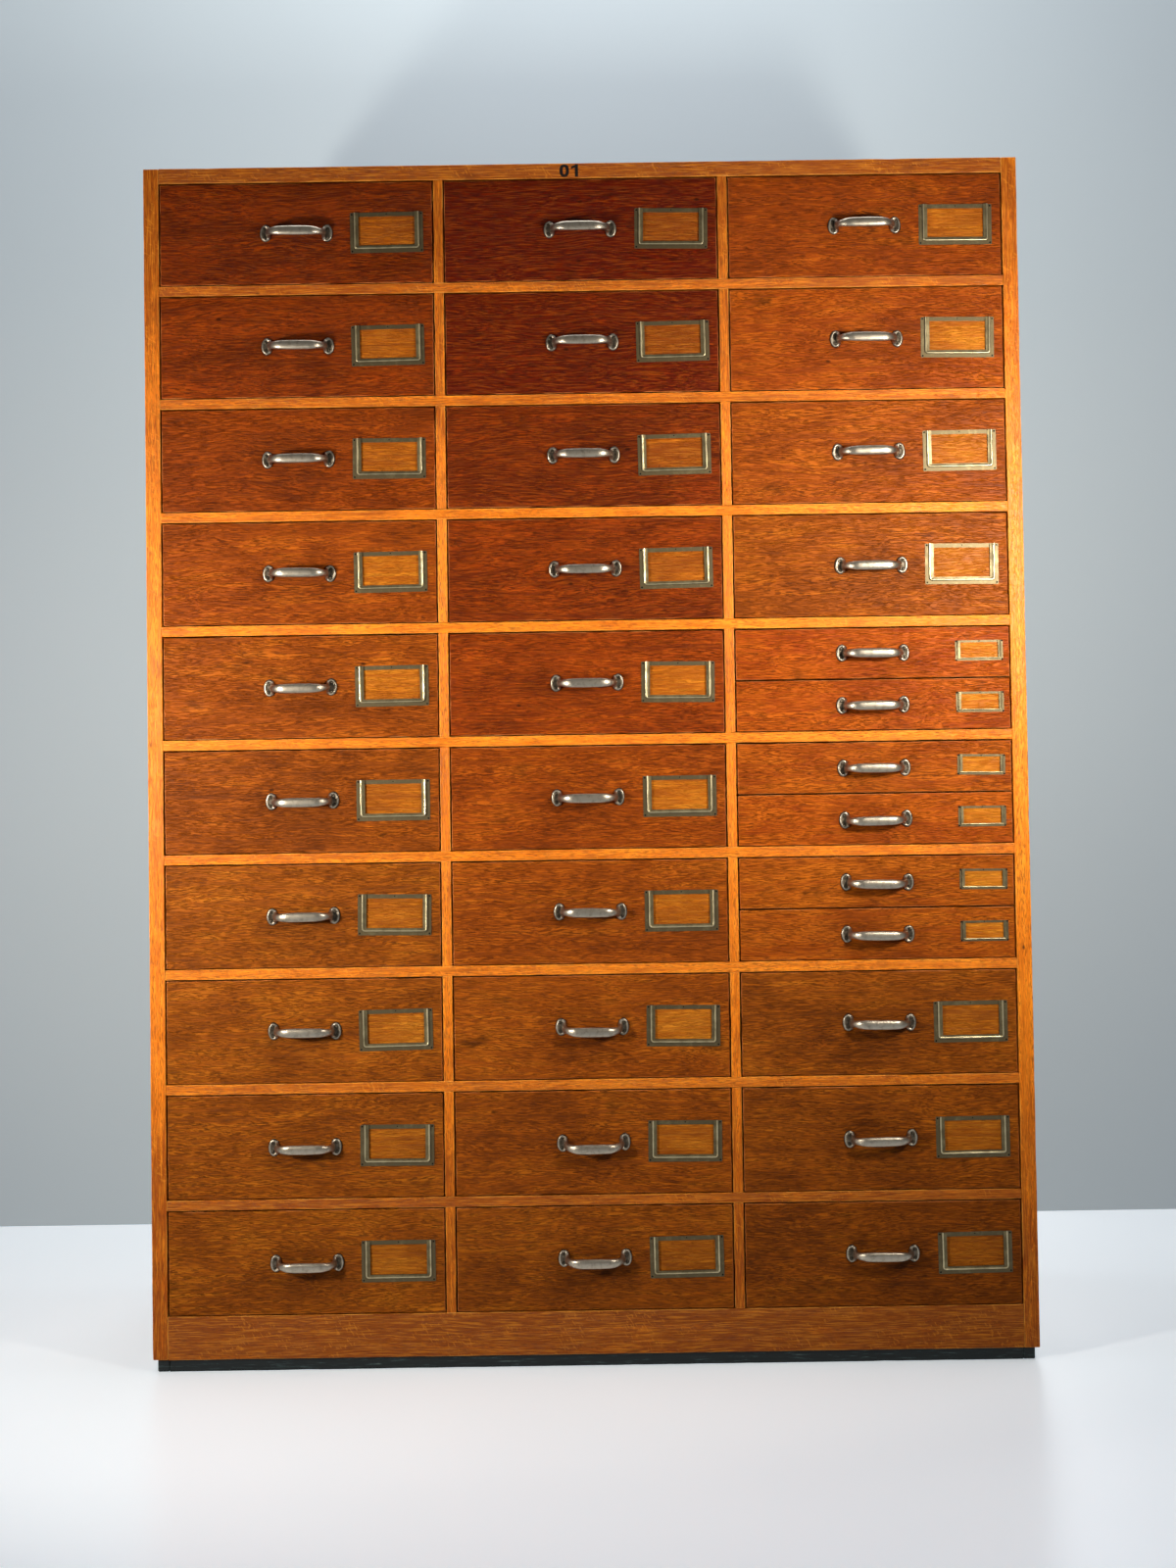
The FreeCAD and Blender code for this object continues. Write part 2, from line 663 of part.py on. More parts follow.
for bay in bays:
    for row in range(1, rowCount + 1):
        place = {"x": bay_middle(bay), "y": "front_y + front_recess"}
        name = f"drawer_{bay}_{row:02d}"
        if bay == "right" and row in smallRows:
            for level, half in enumerate(("lower", "upper")):
                nodes[f"small_{name}_{half}"] = placed(
                    f"{name}_{half}", small_drawer, z=f"{floor_of(row)} + {level} * small_pitch", **place)
        else:
            nodes[name] = placed(f"{name}_large", large_drawer, z=floor_of(row), **place)

doc.recompute()
for thing in doc.Objects:
    if "Invalid" in thing.State or "Error" in thing.State:
        raise ValueError(f"{thing.Name} failed: {thing.State}")
sound = {}
for name, piece in nodes.items():
    piece.Label = name
    # the copies of one drawer or rail are as sound as the piece that they are placed copies of
    source = piece.Links[0] if len(getattr(piece, "Links", [])) == 1 else piece
    if source.Name not in sound:
        sound[source.Name] = not source.Shape.isNull() and source.Shape.isValid()
    if not sound[source.Name] or not piece.Shape.Solids:
        raise ValueError(f"{name} has no sound shape")

os.makedirs("parts", exist_ok=True)
for name, piece in nodes.items():
    piece.Shape.exportStep(f"parts/{name}.step")
print(len(nodes), "nodes written")
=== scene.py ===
import math
import random

import bmesh
import bpy
from mathutils import Matrix, Vector, noise


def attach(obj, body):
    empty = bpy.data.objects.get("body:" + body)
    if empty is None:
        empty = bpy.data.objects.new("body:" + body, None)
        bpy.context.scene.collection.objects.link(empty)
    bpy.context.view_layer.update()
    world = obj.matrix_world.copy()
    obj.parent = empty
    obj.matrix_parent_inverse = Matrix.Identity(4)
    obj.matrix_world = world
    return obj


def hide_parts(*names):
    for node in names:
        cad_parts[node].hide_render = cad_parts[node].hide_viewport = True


# Pharmacy chest of drawers: an oak case, 33 stained oak drawers, nickel bow handles and brass label frames.
# The pieces' sizes are in millimetres. Lamps, camera and studio are in metres.
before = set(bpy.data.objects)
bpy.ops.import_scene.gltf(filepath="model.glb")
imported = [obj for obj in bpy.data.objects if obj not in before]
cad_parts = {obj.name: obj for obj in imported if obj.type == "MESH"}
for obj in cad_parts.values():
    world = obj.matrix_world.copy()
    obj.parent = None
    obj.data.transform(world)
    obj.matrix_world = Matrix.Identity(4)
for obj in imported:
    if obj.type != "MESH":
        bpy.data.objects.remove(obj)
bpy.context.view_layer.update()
scene = bpy.context.scene
mm = 0.001


# Small tools

def linear(code):
    shares = [int(code[i:i + 2], 16) / 255 for i in (1, 3, 5)]
    return tuple(c / 12.92 if c <= 0.04045 else ((c + 0.055) / 1.055) ** 2.4 for c in shares) + (1.0,)


def addNode(tree, kind, settings):
    # a socket links, an input takes a value, "stops" fills a ramp and anything else is a setting
    node = tree.nodes.new("ShaderNode" + kind)
    for key, setting in settings.items():
        if key == "stops":
            marks = node.color_ramp.elements
            for mark, stop in ((marks[0], setting[0]), (marks[-1], setting[-1])):
                mark.position, mark.color = stop
            for place, colour in setting[1:-1]:
                marks.new(place).color = colour
        elif isinstance(setting, bpy.types.NodeSocket):
            tree.links.new(setting, node.inputs[key])
        elif isinstance(key, str) and key in node.bl_rna.properties:
            setattr(node, key, setting)
        else:
            node.inputs[key].default_value = setting
    return node


def newMaterial(name):
    material = bpy.data.materials.new(name)
    material.use_nodes = True
    material.node_tree.nodes.clear()
    return material, material.node_tree


def addPiece(name, mesh, body, nodes=(), place=(0, 0, 0), turn=None):
    piece = bpy.data.objects.new(name, mesh)
    scene.collection.objects.link(piece)
    piece.matrix_world = Matrix.Translation(Vector(place) * mm) @ (turn or Matrix.Identity(4))
    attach(piece, body)
    if nodes:
        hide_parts(*nodes)
    return piece


def meshOf(name, shape, *materials):
    mesh = bpy.data.meshes.new(name)
    shape.to_mesh(mesh)
    shape.free()
    for material in materials:
        mesh.materials.append(material)
    return mesh


def smoothed(mesh, sharp):
    # smooth, but for edges that turn by more than so many degrees
    mesh.shade_smooth()
    mesh.set_sharp_from_angle(angle=math.radians(sharp))
    return mesh


def carved(mesh, cutter, operation="DIFFERENCE"):
    # the mesh less the cutter, or joined with it, as a new mesh
    base = bpy.data.objects.new("carvedBase", mesh)
    tool = bpy.data.objects.new("carvedTool", cutter)
    for piece in (base, tool):
        scene.collection.objects.link(piece)
    step = base.modifiers.new("carve", "BOOLEAN")
    step.operation, step.solver, step.object = operation, "EXACT", tool
    depsgraph = bpy.context.evaluated_depsgraph_get()
    result = bpy.data.meshes.new_from_object(base.evaluated_get(depsgraph), depsgraph=depsgraph)
    result.name = mesh.name
    bpy.data.objects.remove(base)
    bpy.data.objects.remove(tool)
    return result


def corners(left, low, right, top):
    return [(left, low), (right, low), (right, top), (left, top)]


def oval(halfWide, halfHigh, around, power=1.0):
    # points around an oval, which grows squarer as the power falls below 1
    points = []
    for k in range(around):
        turn = 2 * math.pi * k / around
        points.append([half * math.copysign(abs(share) ** power, share)
                       for half, share in ((halfWide, math.cos(turn)), (halfHigh, math.sin(turn)))])
    return points


def addPoint(shape, x, y, z):
    return shape.verts.new(Vector((x, y, z)) * mm)


def closeRings(shape, rings, capped=True):
    # faces from each ring of points to the next, and over the two ends
    for first, second in zip(rings, rings[1:]):
        for i in range(len(first)):
            j = (i + 1) % len(first)
            shape.faces.new((first[i], first[j], second[j], second[i]))
    if capped:
        shape.faces.new(rings[0])
        shape.faces.new(rings[-1])
    bmesh.ops.recalc_face_normals(shape, faces=shape.faces)
    return shape


def prism(outline, low, high, axis, shape=None):
    # a flat outline pushed along X or Y: its two numbers are the other axes, in order
    shape = shape or bmesh.new()
    ends = []
    for level in (low, high):
        spots = [(level, a, b) if axis == "X" else (a, level, b) for a, b in outline]
        ends.append([addPoint(shape, *spot) for spot in spots])
    return closeRings(shape, ends)


def slicedBox(low, high, along, step):
    # a box cut into slices along one axis, so that its edges can be worn unevenly
    count = max(1, round((high[along] - low[along]) / step))
    across, up = [i for i in range(3) if i != along]
    shape = bmesh.new()
    rings = []
    for k in range(count + 1):
        ring = []
        for a, b in corners(low[across], low[up], high[across], high[up]):
            spot = [0, 0, 0]
            spot[along] = low[along] + (high[along] - low[along]) * k / count
            spot[across], spot[up] = a, b
            ring.append(addPoint(shape, *spot))
        rings.append(ring)
    return closeRings(shape, rings)


# the angle in radians from which an edge is rounded, the steps of the round, and rubs and dents to the metre
wearing = {"sharp": 0.5, "segments": 3, "rubs": 70, "dents": 23, "dentFrom": 0.25}


def softened(shape, arris, wear=0.0, seed=1.0, dents=0.0):
    # rounds every sharp edge of a board, marks the arrises and wears them unevenly
    marks = shape.verts.layers.float.new("arris")
    edges = [e for e in shape.edges if len(e.link_faces) == 2 and e.calc_face_angle(0) > wearing["sharp"]]
    made = bmesh.ops.bevel(shape, geom=edges, offset=arris * mm, segments=wearing["segments"], profile=0.5,
                           affect="EDGES", clamp_overlap=True)
    rounds = set(made["faces"])
    for vert in shape.verts:
        if any(f in rounds for f in vert.link_faces):
            vert[marks] = float(all(f in rounds for f in vert.link_faces))
            push = max(0.0, noise.noise(vert.co * wearing["rubs"] + Vector((seed, 2 * seed, 0))))
            deep = noise.noise(vert.co * wearing["dents"] + Vector((0, seed, 3 * seed)))
            vert.co -= vert.normal * (wear * push + dents * max(0.0, deep - wearing["dentFrom"])) * mm
    return shape


# Finishes

def oakMaterial(name, finish, grain="X"):
    # Oak, satin varnish over stain: long dark pores, soft bands of growth, blotches where the stain took.
    material, tree = newMaterial(name)
    where = addNode(tree, "TexCoord", {}).outputs["Object"]
    axes = addNode(tree, "SeparateXYZ", {0: where}).outputs
    order = {"X": (0, 1, 2), "Y": (1, 0, 2), "Z": (2, 1, 0)}[grain]
    lined = addNode(tree, "CombineXYZ", {i: axes[order[i]] for i in range(3)}).outputs[0]
    seed, tone, aged, grip = (
        addNode(tree, "Attribute", {"attribute_type": "OBJECT", "attribute_name": word}).outputs["Fac"]
        for word in ("seed", "tone", "aged", "grip"))
    arris = addNode(tree, "Attribute", {"attribute_name": "arris"}).outputs["Fac"]
    shift = addNode(tree, "VectorMath", {
        "operation": "SCALE", 0: (3.1, 5.3, 7.7), "Scale": seed}).outputs[0]
    board = addNode(tree, "VectorMath", {"operation": "ADD", 0: lined, 1: shift}).outputs[0]

    def grainPattern(source, along, across, detail, rough=0.5, output="Fac"):
        # cloudy marks, so many millimetres along and across the grain
        scaled = addNode(tree, "VectorMath", {
            "operation": "MULTIPLY", 0: source, 1: (1000 / along, 1000 / across, 1000 / across)}).outputs[0]
        return addNode(tree, "TexNoise", {
            "Vector": scaled, "Scale": 1.0, "Detail": detail, "Roughness": rough}).outputs[output]

    # the lines of the grain wander across the board
    bend = finish["sway"] * mm
    swayed = grainPattern(board, finish["swayLong"], finish["swayWide"], 2.0, output="Color")
    for operation, other in (("SUBTRACT", (0.5, 0.5, 0.5)), ("MULTIPLY", (0, bend, bend)), ("ADD", board)):
        swayed = addNode(tree, "VectorMath", {"operation": operation, 0: swayed, 1: other}).outputs[0]
    mottle = grainPattern(board, finish["mottle"] * 2.4, finish["mottle"], 5.0, 0.6)
    rings = grainPattern(swayed, 420, finish["ring"], 2.0)
    # pores are 0.3 mm wide in oak, and drawn about 1 mm wide so that they show in the render
    pores = grainPattern(swayed, finish["poreLong"], finish["poreWide"], 2.6, 0.55)
    fine = grainPattern(swayed, 36, 1.3, 3.0, 0.55)
    blot = grainPattern(board, 110, 60, 4.0, 0.6)
    depth = 0.0
    for pattern, share in ((mottle, 0.25), (rings, 0.4), (blot, 0.35)):
        depth = addNode(tree, "Math", {
            "operation": "MULTIPLY_ADD", 0: pattern, 1: share, 2: depth}).outputs[0]
    # knocks: a few dark specks 2 to 4 mm across
    cells = addNode(tree, "VectorMath", {
        "operation": "MULTIPLY", 0: board, 1: (18, 30, 30)}).outputs[0]
    spots = addNode(tree, "TexVoronoi", {"Vector": cells, "Scale": 1.0, "Randomness": 1.0}).outputs
    chosen = addNode(tree, "SeparateXYZ", {0: spots["Color"]}).outputs[0]

    # each mask eases in between two values of a pattern, up to a share
    masks = {"depth": (depth, 0.28, 0.72, 1.0), "pores": (pores, 0.47, 0.60, 1.0),
             "crowd": (rings, 0.32, 0.62, 1.0), "fine": (fine, 0.45, 0.68, finish["fine"]),
             "stain": (blot, 0.60, 0.78, finish["stain"]), "speck": (spots["Distance"], 0.10, 0.03, 1.0),
             "chosen": (chosen, 0.72, 0.80, 1.0),
             "rub": (grainPattern(board, 35, 35, 3.0), 0.38, 0.60, finish["rub"])}
    if finish["ends"]:
        # painted shade: the case is darkened towards its head and its foot, where the lamps at mid-height
        # light it less
        paintedFalloff = addNode(tree, "Math", {"operation": "SUBTRACT", 0: axes[2], 1: 0.88}).outputs[0]
        paintedFalloff = addNode(tree, "Math", {"operation": "ABSOLUTE", 0: paintedFalloff}).outputs[0]
        masks["ends"] = (paintedFalloff, 0.3, 0.85, finish["ends"])
    if finish["fleck"]:
        # flecks 2 by 8 mm across the grain, in patches, as quarter-sawn oak shows
        slanted = addNode(tree, "Mapping", {"Vector": board, "Rotation": (0.0, 0.55, 0.3)}).outputs[0]
        masks["fleck"] = (grainPattern(slanted, 2.6, 8, 1.0), 0.60, 0.66, 1.0)
        masks["patch"] = (grainPattern(board, 70, 30, 2.0), 0.48, 0.60, finish["fleck"])
    if finish["grimeAndShade"]:
        # dust and wax have blackened the edges of each front, and fingers have left the stain darker around
        # each handle;
        # the same masks also paint in shade: in the gap on each front's edge faces, and the bow's shadow
        # below each handle
        # centred 12 mm below the handle, where the bow's shadow falls: painted shadow, with finger grime
        # around it
        below = addNode(tree, "Math", {"operation": "SUBTRACT", 0: grip, 1: 0.012}).outputs[0]
        centre = addNode(tree, "CombineXYZ", {2: below}).outputs[0]
        off = where
        for operation, other in (("SUBTRACT", centre), ("MULTIPLY", (11, 0, 20))):
            off = addNode(tree, "VectorMath", {"operation": operation, 0: off, 1: other}).outputs[0]
        reach = addNode(tree, "VectorMath", {"operation": "LENGTH", 0: off}).outputs["Value"]
        reach = addNode(tree, "Math", {
            "operation": "MULTIPLY_ADD", 0: blot, 1: 1.1, 2: reach}).outputs[0]
        # a dark band on the front's edge faces, down in the gap around the drawer: painted shade of the gap,
        # with some dust
        masks["edge"] = (axes[1], 0.0009, 0.0024, finish["edge"])
        masks["near"] = (reach, 1.75, 0.75, finish["grimeAndShade"])
    for word, (pattern, low, high, share) in masks.items():
        masks[word] = addNode(tree, "MapRange", {
            "interpolation_type": "SMOOTHSTEP", "Value": pattern, "From Min": low, "From Max": high,
            "To Max": share}).outputs[0]

    depth = addNode(tree, "Math", {"operation": "ADD", 0: masks["depth"], 1: tone}).outputs[0]
    # the painted shade towards the head and the foot of the case
    if finish["ends"]:
        depth = addNode(tree, "Math", {"operation": "SUBTRACT", 0: depth, 1: masks["ends"]}).outputs[0]
    fresh, old = (
        addNode(tree, "ValToRGB", {0: depth, "stops": [
            (place, linear(code)) for place, code in zip((0.0, 0.5, 1.0), finish[word])]}).outputs[0]
        for word in ("fresh", "old"))
    crowd = addNode(tree, "Math", {
        "operation": "MULTIPLY_ADD", 0: masks["crowd"], 1: 0.6, 2: 0.4}).outputs[0]
    poreShare = addNode(tree, "Math", {"operation": "MULTIPLY", 0: masks["pores"], 1: crowd}).outputs[0]
    # layers over the stained wood: a colour, and the shares that together say how far it covers
    layers = [("pore", poreShare, finish["poreDark"]), ("pale", masks["fine"]), ("dirt", masks["stain"]),
              ("dirt", masks["speck"], masks["chosen"], finish["knock"])]
    if finish["fleck"]:
        layers.append(("pale", masks["fleck"], masks["patch"]))
    if finish["grimeAndShade"]:
        # the older boards have been handled more, so the mark around each handle, finger grime with painted
        # shadow, is stronger on them
        handled = addNode(tree, "Math", {
            "operation": "MULTIPLY_ADD", 0: aged, 1: 0.7, 2: 0.3}).outputs[0]
        layers += [("dirt", masks["edge"]), ("dirt", masks["near"], handled)]
    # the rounded arrises are lighter: partly varnish rubbed through, partly a painted highlight where the
    # rounded edge catches the light
    layers.append(("rubbed", arris, masks["rub"]))
    colour = addNode(tree, "Mix", {"data_type": "RGBA", 0: aged, 6: fresh, 7: old}).outputs[2]
    for word, cover, *others in layers:
        for other in others:
            cover = addNode(tree, "Math", {"operation": "MULTIPLY", 0: cover, 1: other}).outputs[0]
        colour = addNode(tree, "Mix", {
            "data_type": "RGBA", 0: cover, 6: colour, 7: linear(finish[word])}).outputs[2]

    gloss = addNode(tree, "MapRange", {
        "Value": mottle, "From Min": 0.3, "From Max": 0.7, "To Min": finish["gloss"] - 0.05,
        "To Max": finish["gloss"] + 0.07}).outputs[0]
    height = addNode(tree, "Math", {"operation": "MULTIPLY", 0: fine, 1: 0.3}).outputs[0]
    height = addNode(tree, "Math", {"operation": "SUBTRACT", 0: height, 1: poreShare}).outputs[0]
    bump = addNode(tree, "Bump", {
        "Height": height, "Strength": finish["bump"], "Distance": 0.0006}).outputs[0]
    skin = addNode(tree, "BsdfPrincipled", {
        "Base Color": colour, "Roughness": gloss, "Specular IOR Level": finish["shine"], "Normal": bump})
    addNode(tree, "OutputMaterial", {"Surface": skin.outputs[0]})
    return material


caseFinish = {"fresh": ("#9c4a06", "#dc740e", "#f5921c"), "old": ("#6d3a09", "#925110", "#b06619"),
              "pore": "#6a3003", "pale": "#ffa42c", "dirt": "#351703", "rubbed": "#ffb44c",
              "swayLong": 300, "swayWide": 60, "sway": 16, "mottle": 26, "ring": 4.5, "poreLong": 10,
              "poreWide": 0.95, "poreDark": 0.72, "fine": 0.34, "stain": 0.5, "knock": 0.9, "rub": 0.6,
              "gloss": 0.42, "bump": 0.5, "shine": 0.2, "fleck": 0.22, "grimeAndShade": 0.0, "ends": 0.6}
frontFinish = {"fresh": ("#581000", "#8b2500", "#b74803"), "old": ("#5e2e07", "#914c0d", "#ba6c17"),
               "pore": "#2a0900", "pale": "#c05f10", "dirt": "#230b00", "rubbed": "#c4743c",
               "swayLong": 200, "swayWide": 60, "sway": 30, "mottle": 22, "ring": 4, "poreLong": 15,
               "poreWide": 0.95, "poreDark": 0.7, "fine": 0.28, "stain": 0.75, "knock": 0.8, "rub": 1.0,
               "gloss": 0.44, "bump": 1.0, "shine": 0.08, "fleck": 0.0, "grimeAndShade": 0.3, "edge": 0.78,
               "ends": 0.0}
windowFinish = dict(frontFinish, fresh=("#823c03", "#b45f09", "#e59220"),
                    old=("#763a09", "#a2580b", "#c57b1e"), pore="#824109", pale="#d88c28", dirt="#633303",
                    poreDark=0.5, stain=0.3, sway=12, shine=0.12, grimeAndShade=0.0)
innerFinish = {"fresh": ("#9f6f3e", "#c08e54", "#dcad71"), "old": ("#8a5d2e", "#a77842", "#c0945b"),
               "pore": "#784f2a", "pale": "#e1b47f", "dirt": "#54361a", "rubbed": "#e1bd87",
               "swayLong": 260, "swayWide": 60, "sway": 14, "mottle": 45, "ring": 6, "poreLong": 12,
               "poreWide": 1.4, "poreDark": 0.5, "fine": 0.25, "stain": 0.35, "knock": 0.5, "rub": 0.3,
               "gloss": 0.62, "bump": 0.35, "shine": 0.3, "fleck": 0.0, "grimeAndShade": 0.0, "ends": 0.0}
plyFinish = dict(innerFinish, fresh=("#8e5f2e", "#ad7a41", "#c69355"), old=("#7b5025", "#996834", "#b07f46"),
                 ring=14, sway=30, swayWide=120, mottle=80, poreDark=0.3)

caseAlong = oakMaterial("honeyOakRails", caseFinish, "X")
caseUp = oakMaterial("honeyOakUprights", caseFinish, "Z")
frontOak = oakMaterial("stainedOakFronts", frontFinish, "X")
windowOak = oakMaterial("unfadedOakWindows", windowFinish, "X")
sideOak = oakMaterial("bareOakSides", innerFinish, "Y")
rearOak = oakMaterial("bareOakRears", innerFinish, "X")
upOak = oakMaterial("bareOakPartitions", innerFinish, "Z")
bottomPly = oakMaterial("plywoodBottoms", plyFinish, "X")
backPly = oakMaterial("plywoodBack", plyFinish, "Z")


def metalMaterial(name, finish):
    # Cast or pressed metal, handled for decades: bright where hands rub, brown or olive in the hollows.
    material, tree = newMaterial(name)
    where = addNode(tree, "TexCoord", {}).outputs["Object"]
    axes = addNode(tree, "SeparateXYZ", {0: where}).outputs
    seed = addNode(tree, "Attribute", {
        "attribute_type": "OBJECT", "attribute_name": "seed"}).outputs["Fac"]
    shift = addNode(tree, "VectorMath", {
        "operation": "SCALE", 0: (1.3, 2.1, 0.7), "Scale": seed}).outputs[0]
    moved = addNode(tree, "VectorMath", {"operation": "ADD", 0: where, 1: shift}).outputs[0]
    cloud = addNode(tree, "TexNoise", {
        "Vector": moved, "Scale": 1000 / finish["cloud"], "Detail": 4.0, "Roughness": 0.6}).outputs["Fac"]
    grit = addNode(tree, "TexNoise", {
        "Vector": moved, "Scale": 1000 / finish["grit"], "Detail": 3.0}).outputs["Fac"]
    proud = addNode(tree, "MapRange", {
        "interpolation_type": "SMOOTHSTEP", "Value": axes[1], "From Min": -finish["hollow"] * mm,
        "From Max": -finish["proud"] * mm}).outputs[0]
    broken = addNode(tree, "Math", {
        "operation": "MULTIPLY_ADD", 0: cloud, 1: 1.5, 2: -0.78}).outputs[0]
    worn = addNode(tree, "Math", {
        "operation": "ADD", 0: proud, 1: broken, "use_clamp": True}).outputs[0]
    colour = addNode(tree, "ValToRGB", {0: worn, "stops": [
        (place, linear(code)) for place, code in zip((0.0, 0.45, 1.0), finish["tones"])]}).outputs[0]
    rough = addNode(tree, "MapRange", {
        "Value": worn, "To Min": finish["roughHollow"], "To Max": finish["roughProud"]}).outputs[0]
    bump = addNode(tree, "Bump", {
        "Height": grit, "Strength": finish["bump"], "Distance": 0.0002}).outputs[0]
    skin = addNode(tree, "BsdfPrincipled", {
        "Base Color": colour, "Metallic": finish["metallic"], "Roughness": rough, "Normal": bump})
    addNode(tree, "OutputMaterial", {"Surface": skin.outputs[0]})
    return material


wornNickel = metalMaterial("wornNickelCast", {
    "tones": ("#352d24", "#6f6557", "#a39a8a"), "hollow": 1.5, "proud": 3.6, "cloud": 7, "grit": 0.9,
    "roughHollow": 0.48, "roughProud": 0.36, "metallic": 1.0, "bump": 0.5})
agedBrass = metalMaterial("agedBrassPressed", {
    "tones": ("#5c513a", "#7a6f50", "#bdb08c"), "hollow": 2.6, "proud": 3.3, "cloud": 14, "grit": 0.8,
    "roughHollow": 0.48, "roughProud": 0.3, "metallic": 0.9, "bump": 0.2})
darkScrew = metalMaterial("oxidisedSteelScrews", {
    "tones": ("#15120e", "#28231c", "#4e463b"), "hollow": 0.1, "proud": 3.8, "cloud": 3, "grit": 0.5,
    "roughHollow": 0.6, "roughProud": 0.42, "metallic": 0.9, "bump": 0.3})


def paintMaterial():
    # Black gloss paint on wood, scuffed by mops and shoes to grey and bare wood along the edges.
    material, tree = newMaterial("blackPaintedPlinth")
    where = addNode(tree, "TexCoord", {}).outputs["Object"]
    streak = addNode(tree, "VectorMath", {
        "operation": "MULTIPLY", 0: where, 1: (30, 220, 330)}).outputs[0]
    scuffs = addNode(tree, "TexNoise", {
        "Vector": streak, "Scale": 1.0, "Detail": 5.0, "Roughness": 0.65}).outputs["Fac"]
    arris = addNode(tree, "Attribute", {"attribute_name": "arris"}).outputs["Fac"]
    worn = addNode(tree, "Math", {
        "operation": "MULTIPLY_ADD", 0: arris, 1: 0.08, 2: scuffs}).outputs[0]
    colour = addNode(tree, "ValToRGB", {0: worn, "stops": [
        (0.0, linear("#090e0f")), (0.56, linear("#101819")), (0.66, linear("#334345")),
        (0.76, linear("#78847f"))]}).outputs[0]
    bump = addNode(tree, "Bump", {"Height": scuffs, "Strength": 0.3, "Distance": 0.0004}).outputs[0]
    skin = addNode(tree, "BsdfPrincipled", {
        "Base Color": colour, "Roughness": 0.45, "Specular IOR Level": 0.3, "Normal": bump})
    addNode(tree, "OutputMaterial", {"Surface": skin.outputs[0]})
    return material


def inkMaterial():
    # Black stencil paint, dry and slightly rubbed, so that a little wood colour breaks through.
    material, tree = newMaterial("blackStencilPaint")
    where = addNode(tree, "TexCoord", {}).outputs["Object"]
    rub = addNode(tree, "TexNoise", {"Vector": where, "Scale": 900.0, "Detail": 3.0}).outputs["Fac"]
    colour = addNode(tree, "ValToRGB", {0: rub, "stops": [
        (0.0, linear("#0a0705")), (0.66, linear("#120c09")), (0.85, linear("#4a2a12"))]}).outputs[0]
    skin = addNode(tree, "BsdfPrincipled", {
        "Base Color": colour, "Roughness": 0.6, "Specular IOR Level": 0.2})
    addNode(tree, "OutputMaterial", {"Surface": skin.outputs[0]})
    return material


blackPaint = paintMaterial()
stencilPaint = inkMaterial()
print("finishes made")


# Case

case = {"wide": 1270, "deep": 450, "high": 1733.8, "gable": 22, "partition": 14, "top": 22, "rail": 14.7,
        "opening": 150, "rows": 10, "railDeep": 40, "floor": 79.5, "plinth": 18, "baseThick": 20,
        "rebate": 10, "backThick": 8, "arris": 1.1, "thinArris": 0.9, "wear": 0.5, "dents": 1.6, "slice": 18,
        "gableSlices": 90}
inner = case["wide"] / 2 - case["gable"]
bayWide = (2 * inner - 2 * case["partition"]) / 3
bayPitch = bayWide + case["partition"]
rowPitch = case["opening"] + case["rail"]
frontY, rearY = -case["deep"] / 2, case["deep"] / 2


def rowFloor(row):
    # rows count from the top down
    return case["floor"] + (case["rows"] - row) * rowPitch


def dress(piece, seed, tone=0.0, aged=0.0):
    # what the finishes read: which stretch of their patterns it shows, how light it is and how far aged
    piece["seed"], piece["tone"], piece["aged"] = float(seed), float(tone), float(aged)


def addCaseBoard(name, low, high, along, nodes, material, seed, tone=0.0, aged=0.0,
                 arris=case["arris"]):
    shape = softened(slicedBox(low, high, along, case["slice"]), arris, case["wear"], seed, case["dents"])
    dress(addPiece(name, meshOf(name, shape, material), "case", nodes), seed, tone, aged)


def addGable(side, way):
    # the board with its rebate for the back, cut into slices so that its arrises wear unevenly
    outer, face = way * case["wide"] / 2, way * inner
    step = face + way * case["rebate"]
    outline = [(outer, frontY), (face, frontY), (face, rearY - case["backThick"]),
               (step, rearY - case["backThick"]), (step, rearY), (outer, rearY)]
    shape = bmesh.new()
    count, low, high = case["gableSlices"], case["plinth"], case["high"]
    closeRings(shape, [[addPoint(shape, x, y, low + (high - low) * k / count) for x, y in outline]
                       for k in range(count + 1)])
    seed = 3.0 + way
    softened(shape, case["arris"], case["wear"], seed, case["dents"])
    name = side + "_gable_board"
    piece = addPiece(name, meshOf(name, shape, caseUp), "case", [side + "_gable"])
    # the right gable is lighter than the left: painted light, where the right lamp, set higher, lights more
    # of it
    dress(piece, seed, 0.08 + 0.08 * way)


for side, way in (("left", -1), ("right", 1)):
    addGable(side, way)
    middle = way * bayPitch / 2
    for row in range(1, case["rows"] + 1):
        z = rowFloor(row)
        addCaseBoard(f"{side}_muntin_{row:02d}", (middle - case["partition"] / 2, frontY, z),
                     (middle + case["partition"] / 2, frontY + case["railDeep"], z + case["opening"]), 2,
                     [side + "_muntins"], caseUp, 20 + row * 1.7 + way,
                     tone=0.04 + 0.06 * math.sin(row * 2.1 + way), arris=case["thinArris"])
for row in range(1, case["rows"]):
    z = rowFloor(row)
    addCaseBoard(f"front_rail_{row:02d}_board", (-inner, frontY, z - case["rail"]),
                 (inner, frontY + case["railDeep"], z), 0, [f"front_rail_{row}"], caseAlong, 40 + row * 2.3,
                 tone=0.05 * math.sin(row * 1.9), aged=max(0.0, row - 6) * 0.1, arris=case["thinArris"])
# the top board is darker: painted shade at the head of the case, which the lamps light less
addCaseBoard("top_board_oak", (-inner, frontY, case["high"] - case["top"]), (inner, rearY, case["high"]), 0,
             ["top_board"], caseAlong, 71.0, tone=-0.3, aged=0.25)
addCaseBoard("base_board_oak", (-inner, frontY, case["plinth"]),
             (inner, frontY + case["baseThick"], case["floor"]), 0, ["base_board"], caseAlong, 76.0,
             tone=0.05, aged=0.4)

